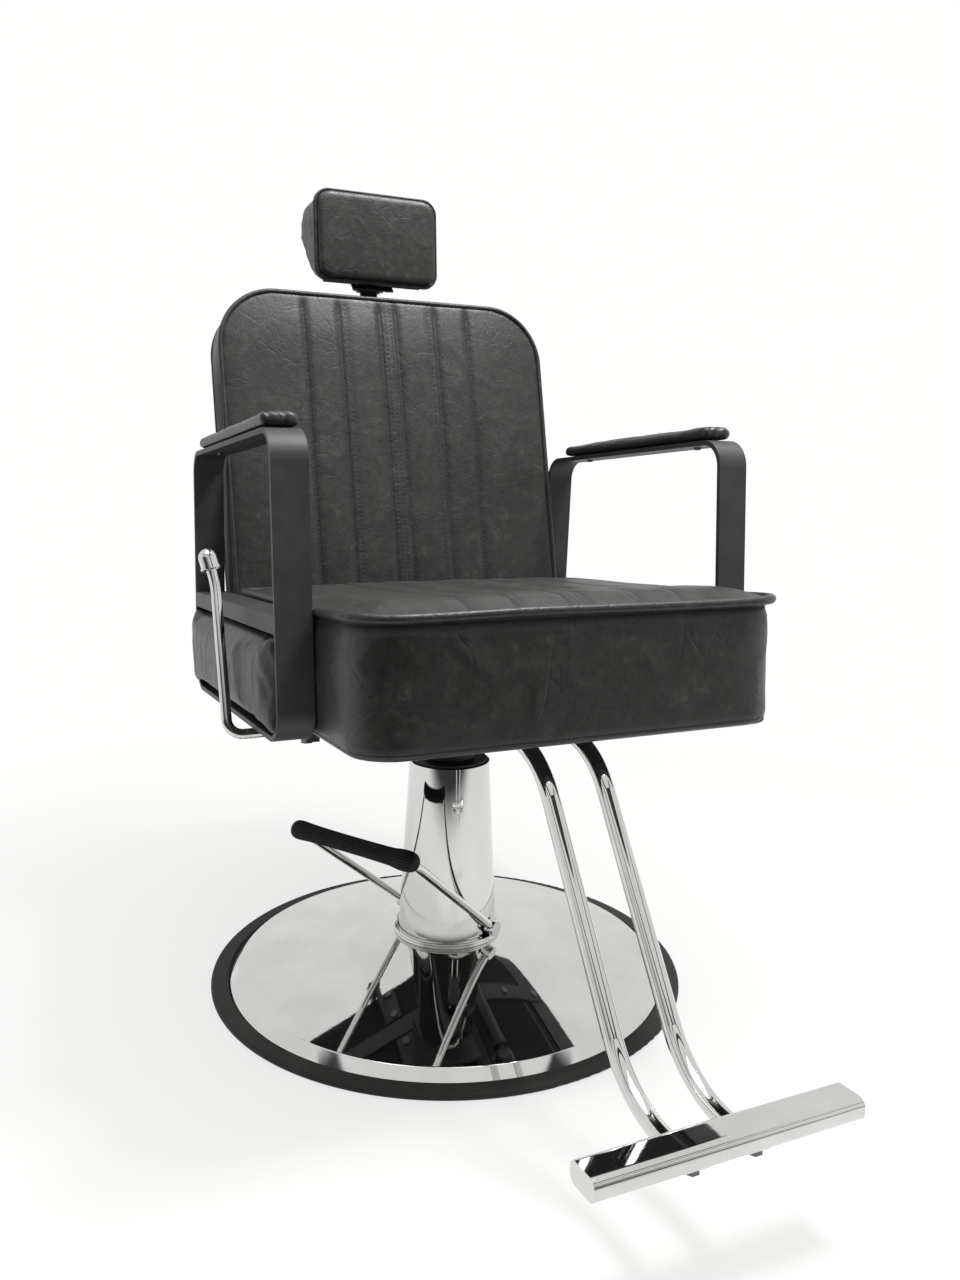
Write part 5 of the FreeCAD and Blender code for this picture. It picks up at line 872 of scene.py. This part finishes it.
def cutAway(piece, start, run):
    # cuts off what lies behind a plane that passes through start and runs along run
    editWhole(piece)
    bpy.ops.mesh.bisect(plane_co=start, plane_no=Vector((0, run.z, -run.y)), clear_outer=True, use_fill=True)
    done()


def headCushion():
    low, high = headLow.copy(), headHigh.copy()
    low.z -= head["foot"]
    inset = head["inset"]
    piece = block("headCushion", low + Vector((inset, inset, inset)), high - Vector((inset, inset, inset)))
    # the rear is cut off on a slant down to the heel, and again up to the top
    heel = Vector((0, low.y + head["heelDepth"], low.z))
    deepest = Vector((0, high.y - inset, low.z + head["deepHeight"]))
    top = Vector((0, low.y + head["topDepth"], high.z))
    run = (deepest - heel).normalized()
    cutAway(piece, heel, run)
    cutAway(piece, deepest, (top - deepest).normalized())
    roundEdges(piece, lambda e: along(e, 1) and middle(e).z > high.z - 0.02, head["topCorner"], 6)
    roundEdges(piece, lambda e: along(e, 1) and middle(e).z < low.z + 0.02, head["footCorner"], 6)
    roundEdges(piece, lambda e: abs(middle(e).y - (low.y + inset)) < 1e-5, head["frontRound"], 4)

    def held(place):
        edge = min(high.x - abs(place.x), place.z - low.z, high.z - place.z)
        rim = place.y < low.y + head["sewnDepth"] and edge < head["sewnRim"]
        slant = (place - heel).dot(Vector((0, run.z, -run.y))) > -head["stapledRear"]
        return rim or slant

    puff(piece, head["voxel"], lambda place: head["swell"], held)
    apply(piece, "SUBSURF", "finer", levels=1, render_levels=1)

    def shape(place, normal):
        flat = smooth01(0.5, 0.9, -normal.y)
        place.y -= flat * (head["crown"] + head["faceCrease"] * wrinkle(place, 24)
                           + head["faceWave"] * noise.noise(place * 14))
        side = 1 - abs(normal.y)
        tuck = bell(place.y - (low.y + 0.0085), 0.0025) + bell(place.y - (low.y + 0.0145), 0.002)
        place -= normal * side * head["weltTuck"] * tuck
        behind = smooth01(low.y + 0.015, low.y + 0.04, place.y)
        place += normal * side * head["sideCrease"] * wrinkle(place, 30, (1, 2.2, 1)) * behind
        return place

    def paintedShade(place, normal):
        # painted shade in the tucks under the two piping rolls
        lines = [bell(place.y - (low.y + depth), 0.0018) for depth in (0.0078, 0.0135)]
        return 0.8 * max(lines) * (1 - abs(normal.y))

    sculpt(piece, shape)
    mark(piece, "paintedShade", paintedShade)
    return piece


def headPath(depth, inward):
    corners = (head["footCorner"], head["footCorner"], head["topCorner"], head["topCorner"])
    flat = roundedPath((headLow.x + inward, headLow.z - head["foot"] + inward),
                       (headHigh.x - inward, headHigh.z - inward), corners, head["pathStep"])
    return [Vector((p.x, headLow.y + depth, p.y)) for p in flat]


cushion = headCushion()
piping = join("headrestPiping", welt("frontRoll", headPath(head["weltDepth"], -0.0002), head["weltRadius"]),
              welt("rearRoll", headPath(head["weltDepth"] + head["weltStep"], -0.0006), head["weltRadius"]))
for piece in (cushion, piping):
    setDown(piece, seatPlace)
soften(cushion, 60)
dress(cushion, hideFinish, "headrest", "upholstery", "headrest_cushion", padded=0.85)
dress(piping, hideFinish, "headrest", "upholstery")
print("headrest cushion and piping")


sidePad = {"inset": 0.0015, "round": 0.009, "voxel": 0.005, "swell": 0.010, "fold": 0.0009, "crease": 0.0010,
           "innerFace": 0.2583, "fastened": 0.012}
armPad = {"inset": 0.0015, "round": 0.006, "voxel": 0.0035, "swell": 0.0035, "pucker": 0.0013, "crease": 0.0007,
          "wave": 0.0006, "frontRise": 0.0015, "fastened": 0.004}


def halfBox(node, side, margin):
    # the part of a mirrored pair of CAD solids that lies on one side
    inward = seatPlace.inverted()
    points = [inward @ v.co for v in frame["nodes"][node].data.vertices]
    low, high = cornersOf([p for p in points if p.x * side > 0])
    return low + Vector([margin] * 3), high - Vector([margin] * 3)


def onePad(name, node, side, look, held, shape):
    low, high = halfBox(node, side, look["inset"])
    piece = block(name, low, high)
    roundEdges(piece, lambda e: True, look["round"], 4)
    puff(piece, look["voxel"], lambda place: look["swell"], lambda place: held(place, low, high, side))
    apply(piece, "SUBSURF", "finer", levels=1, render_levels=1)
    sculpt(piece, lambda place, normal: shape(place, normal, low, high, side))
    return piece


def sideHeld(place, low, high, side):
    inner = low.x if side > 0 else -high.x
    return abs(place.x) < abs(inner) + sidePad["fastened"]


def sideShape(place, normal, low, high, side):
    outer = smooth01(0.3, 0.9, normal.x * side)
    fold = noise.noise(Vector((0, place.y * 46 + 1.2 * math.sin(place.z * 30), place.z * 5 + side * 4)))
    near = 1 - smooth01(low.y + 0.03, low.y + 0.20, place.y)
    place.x += side * outer * (sidePad["fold"] * fold * (0.4 + near)
                               + sidePad["crease"] * wrinkle(place, 14, (1, 1.8, 0.7)))
    place.x = side * max(sidePad["innerFace"], abs(place.x))
    return place


def armHeld(place, low, high, side):
    return place.z < low.z + armPad["fastened"]


def armShape(place, normal, low, high, side):
    # gathered where the cover is drawn in over the ends
    ahead = bell(place.y - low.y, 0.028)
    behind = bell(high.y - place.y, 0.016)
    across = place.x * 1000
    ripple = noise.noise(Vector((across * 0.07, place.y * 40, side * 3)))
    gather = math.sin(across * 0.42 + 4.2 * ripple) * armPad["pucker"] * (0.6 + ripple)
    up = smooth01(-0.2, 0.6, normal.z)
    end = smooth01(0.3, 0.9, abs(normal.y))
    amount = ahead + 0.7 * behind
    place.z += up * (gather * amount + armPad["wave"] * noise.noise(place * 30)
                     + armPad["crease"] * wrinkle(place, 22, (2, 1, 1)))
    place.z += up * armPad["frontRise"] * ahead
    place += normal * end * gather * 0.5
    place.z = max(low.z - armPad["inset"] + 0.0003, place.z)
    return place


pads = join("sidePads", *[onePad("sidePad", "side_pads", side, sidePad, sideHeld, sideShape) for side in (-1, 1)])
setDown(pads, seatPlace)
soften(pads, 60)
dress(pads, hideFinish, "seat", "upholstery", "side_pads", padded=0.8)
pads = join("armPads", *[onePad("armPad", "arm_pads", side, armPad, armHeld, armShape) for side in (-1, 1)])
setDown(pads, seatPlace)
soften(pads, 60)
dress(pads, hideFinish, "seat", "upholstery", "arm_pads", padded=0.7)
print("side pads and arm pads")


def turned(name, sides, stations, centre, run, turn, fill):
    # a ring drawn out along run through stations of (radius, distance)
    bpy.ops.object.select_all(action="DESELECT")
    bpy.ops.mesh.primitive_circle_add(vertices=sides, radius=stations[0][0], fill_type=fill,
                                      location=centre + run * stations[0][1], rotation=turn)
    piece = bpy.context.active_object
    piece.name = name
    bpy.ops.object.transform_apply(location=True, rotation=True, scale=True)
    editWhole(piece)
    for before, after in zip(stations, stations[1:]):
        bpy.ops.mesh.extrude_region_move(TRANSFORM_OT_translate={"value": run * (after[1] - before[1])})
        ratio = after[0] / before[0]
        bpy.ops.transform.resize(value=[1 if step else ratio for step in run])
    bpy.ops.mesh.select_all(action="SELECT")
    bpy.ops.mesh.remove_doubles(threshold=1e-6)
    bpy.ops.mesh.normals_make_consistent(inside=False)
    done()
    return piece


grip = {"radius": 0.0115, "ribs": 22, "ribDepth": 0.0017, "ribEnds": (0.090, 0.098),
        "profile": ((-0.100, 0.45), (-0.0985, 0.75), (-0.095, 1.02), (-0.088, 1.14), (-0.078, 1.16), (-0.070, 1.08),
                    (-0.064, 0.97), (-0.04, 0.95), (0.0, 0.93), (0.04, 0.95), (0.070, 1.0), (0.082, 1.08),
                    (0.092, 1.10), (0.0965, 1.02), (0.0995, 0.78), (0.100, 0.45))}


def pedalGrip():
    low, high = boxIn(pedalPlace, "pedal_grip")
    centre = (low + high) / 2
    stations = [(grip["radius"] * share, distance) for distance, share in grip["profile"]]
    piece = turned("gripSleeve", grip["ribs"] * 4, stations, centre, Vector((0, 1, 0)), (math.pi / 2, 0, 0), "NGON")

    def rib(place, normal):
        out = Vector((place.x - centre.x, 0, place.z - centre.z))
        angle = math.atan2(out.z, out.x)
        groove = 0.5 - 0.5 * math.cos(angle * grip["ribs"])
        inner = 1 - smooth01(*grip["ribEnds"], abs(place.y - centre.y))
        return place - out.normalized() * grip["ribDepth"] * groove * inner if out.length > 1e-6 else place

    sculpt(piece, rib)
    apply(piece, "SUBSURF", "finer", levels=1, render_levels=1)
    soften(piece, 50)
    setDown(piece, pedalPlace)
    return piece


dress(pedalGrip(), nodeFinish["grip_rubber"], "pedal", "grip_rubber", "pedal_grip")
print("pedal grip")


dome = {"lip": 0.0138, "lipHeight": 0.0138, "wall": 0.0015, "edge": 0.003, "sides": 240, "edgeSteps": 8}


def domeShell():
    # a straight cone from the neck out to the crest, then a steeper lip down to the plate
    low, high = boxIn(Matrix(), "base_dome")
    neck = min(math.hypot(v.co.x, v.co.y) for v in frame["nodes"]["base_dome"].data.vertices)
    crest = high.x - dome["lip"]
    crestHeight = low.z + dome["lipHeight"]
    cone = math.atan((high.z - crestHeight) / (crest - neck))
    lip = math.atan(dome["lipHeight"] / dome["lip"])
    setback = dome["edge"] * math.tan((lip - cone) / 2)
    centreRadius = crest - setback * math.cos(cone) - dome["edge"] * math.sin(cone)
    centreHeight = crestHeight + setback * math.sin(cone) - dome["edge"] * math.cos(cone)
    stations = [(neck, high.z, cone)]
    for k in range(dome["edgeSteps"] + 1):
        turn = cone + (lip - cone) * k / dome["edgeSteps"]
        stations.append((centreRadius + dome["edge"] * math.sin(turn),
                         centreHeight + dome["edge"] * math.cos(turn), turn))
    stations.append((high.x, low.z, lip))
    outline = [(radius, height) for radius, height, turn in stations]
    for radius, height, turn in reversed(stations):
        outline.append((radius - dome["wall"] * math.sin(turn), max(low.z, height - dome["wall"] * math.cos(turn))))
    outline.append(outline[0])
    piece = turned("domeShell", dome["sides"], outline, Vector(), Vector((0, 0, 1)), (0, 0, 0), "NOTHING")
    soften(piece, 30)
    return piece


dress(domeShell(), chrome, "base", "chrome", "base_dome")
print("base dome")


room = {
    "floorSize": 14.0, "low": 0.13, "high": 0.45, "ahead": 0.11, "wall": 0.88, "dusk": 0.05,
    "beams": ((0.715, 0.040), (0.55, 0.028)), "openSide": (-0.394, -0.919, 0.0), "white": (1.0, 0.998, 0.99),
    "shadowShare": 0.28,
}


def paleFloor():
    # keeps the shadow close in, and fades to the white of the room further out
    finish, here = newFinish("paleFloor", Roughness=0.6, Specular_IOR_Level=0.2)
    tree = finish.node_tree
    shade = here.cloud(0.8, 2)
    feed(finish, Base_Color=shade.blend((0.74, 0.74, 0.73), (0.79, 0.79, 0.78)))
    rays = tree.nodes.new("ShaderNodeLightPath")
    mirrored = Wire(tree, rays.outputs["Is Glossy Ray"])
    looking = Wire(tree, rays.outputs["Is Camera Ray"]) + mirrored
    # metal sees a darker room towards the open side
    toward = here.node("ShaderNodeVectorMath", {"operation": "DOT_PRODUCT"}, {0: here, 1: room["openSide"]}, 1)
    dusk = mirrored * toward.between(0.7, 1.5)
    glow = here.node("ShaderNodeEmission", None, {
        "Color": dusk.blend(room["white"], (room["dusk"],) * 3)})
    away = here.node("ShaderNodeVectorMath", {"operation": "LENGTH"}, {0: here}, 1)
    share = looking * (1 - room["shadowShare"] + room["shadowShare"] * away.between(0.4, 1.5))
    surface = here.node("ShaderNodeMixShader", None, {
        0: share, 1: Wire(tree, tree.nodes["Principled BSDF"].outputs[0]), 2: glow})
    tree.links.new(surface.socket, tree.nodes["Material Output"].inputs["Surface"])
    return finish


bpy.ops.object.select_all(action="DESELECT")
bpy.ops.mesh.primitive_plane_add(size=room["floorSize"], location=(0, 0, 0))
floor = bpy.context.active_object
floor.name = "floor"
floor.data.materials.append(paleFloor())

world = bpy.data.worlds.new("softRoom")
scene.world = world
world.use_nodes = True
tree = world.node_tree
background = tree.nodes["Background"]
direction = Wire(tree, tree.nodes.new("ShaderNodeTexCoord").outputs["Generated"])
rays = tree.nodes.new("ShaderNodeLightPath")
seen = Wire(tree, rays.outputs["Is Camera Ray"])
mirrored = Wire(tree, rays.outputs["Is Glossy Ray"])
upward = direction.node("ShaderNodeSeparateXYZ", None, {0: direction}, 2)
toward = direction.node("ShaderNodeVectorMath", {"operation": "DOT_PRODUCT"}, {0: direction, 1: room["openSide"]}, 1)
darkSide = toward.between(0.45, 0.75) * (1 - upward.between(0.22, 0.50))
for height, width in room["beams"]:
    # thin dark beams overhead, which the bright tubes show as lines
    beam = 1 - (upward - height).positive().between(0.6 * width, width)
    darkSide = darkSide.most(toward.between(0.10, 0.25) * beam)
dimSide = toward.between(0.0, 0.8) * (1 - upward.between(0.10, 0.55))
shown = room["wall"] + (room["dusk"] - room["wall"]) * darkSide
cast = room["low"] + room["high"] * upward.between(0.0, 0.8) - room["ahead"] * dimSide
strength = mirrored * shown + (1 - mirrored) * cast
total = seen + (1 - seen) * strength
background.inputs["Color"].default_value = (*room["white"], 1)
tree.links.new(total.socket, background.inputs["Strength"])


lamps = {
    "ceilingLight": {"place": (0.80, -0.62, 2.9), "size": (0.6, 0.4), "power": 64},
    "wideLight": {"place": (-0.2, -0.45, 3.0), "size": (2.4, 1.8), "power": 42},
}
lampAim = Vector((0, 0, 0.4))

for name, look in lamps.items():
    light = bpy.data.lights.new(name, "AREA")
    light.shape = "RECTANGLE"
    light.size, light.size_y = look["size"]
    light.energy = look["power"]
    stand = bpy.data.objects.new(name, light)
    scene.collection.objects.link(stand)
    stand.location = look["place"]
    stand.rotation_euler = (lampAim - stand.location).to_track_quat("-Z", "Y").to_euler()

camera = {"place": (-0.55768, -1.29872, 0.7133), "heading": -24.81, "dip": 9.68, "roll": 1.1, "lens": 29.887}
eye = bpy.data.cameras.new("eye")
eye.sensor_fit = "VERTICAL"
eye.sensor_height = 36
eye.lens = camera["lens"]
viewer = bpy.data.objects.new("eye", eye)
scene.collection.objects.link(viewer)
viewer.location = camera["place"]
viewer.rotation_euler = (Matrix.Rotation(math.radians(camera["heading"]), 3, "Z")
                         @ Matrix.Rotation(math.radians(90 - camera["dip"]), 3, "X")
                         @ Matrix.Rotation(math.radians(camera["roll"]), 3, "Z")).to_euler()
scene.camera = viewer
scene.view_settings.view_transform = "Standard"
print("room, lamps and camera")
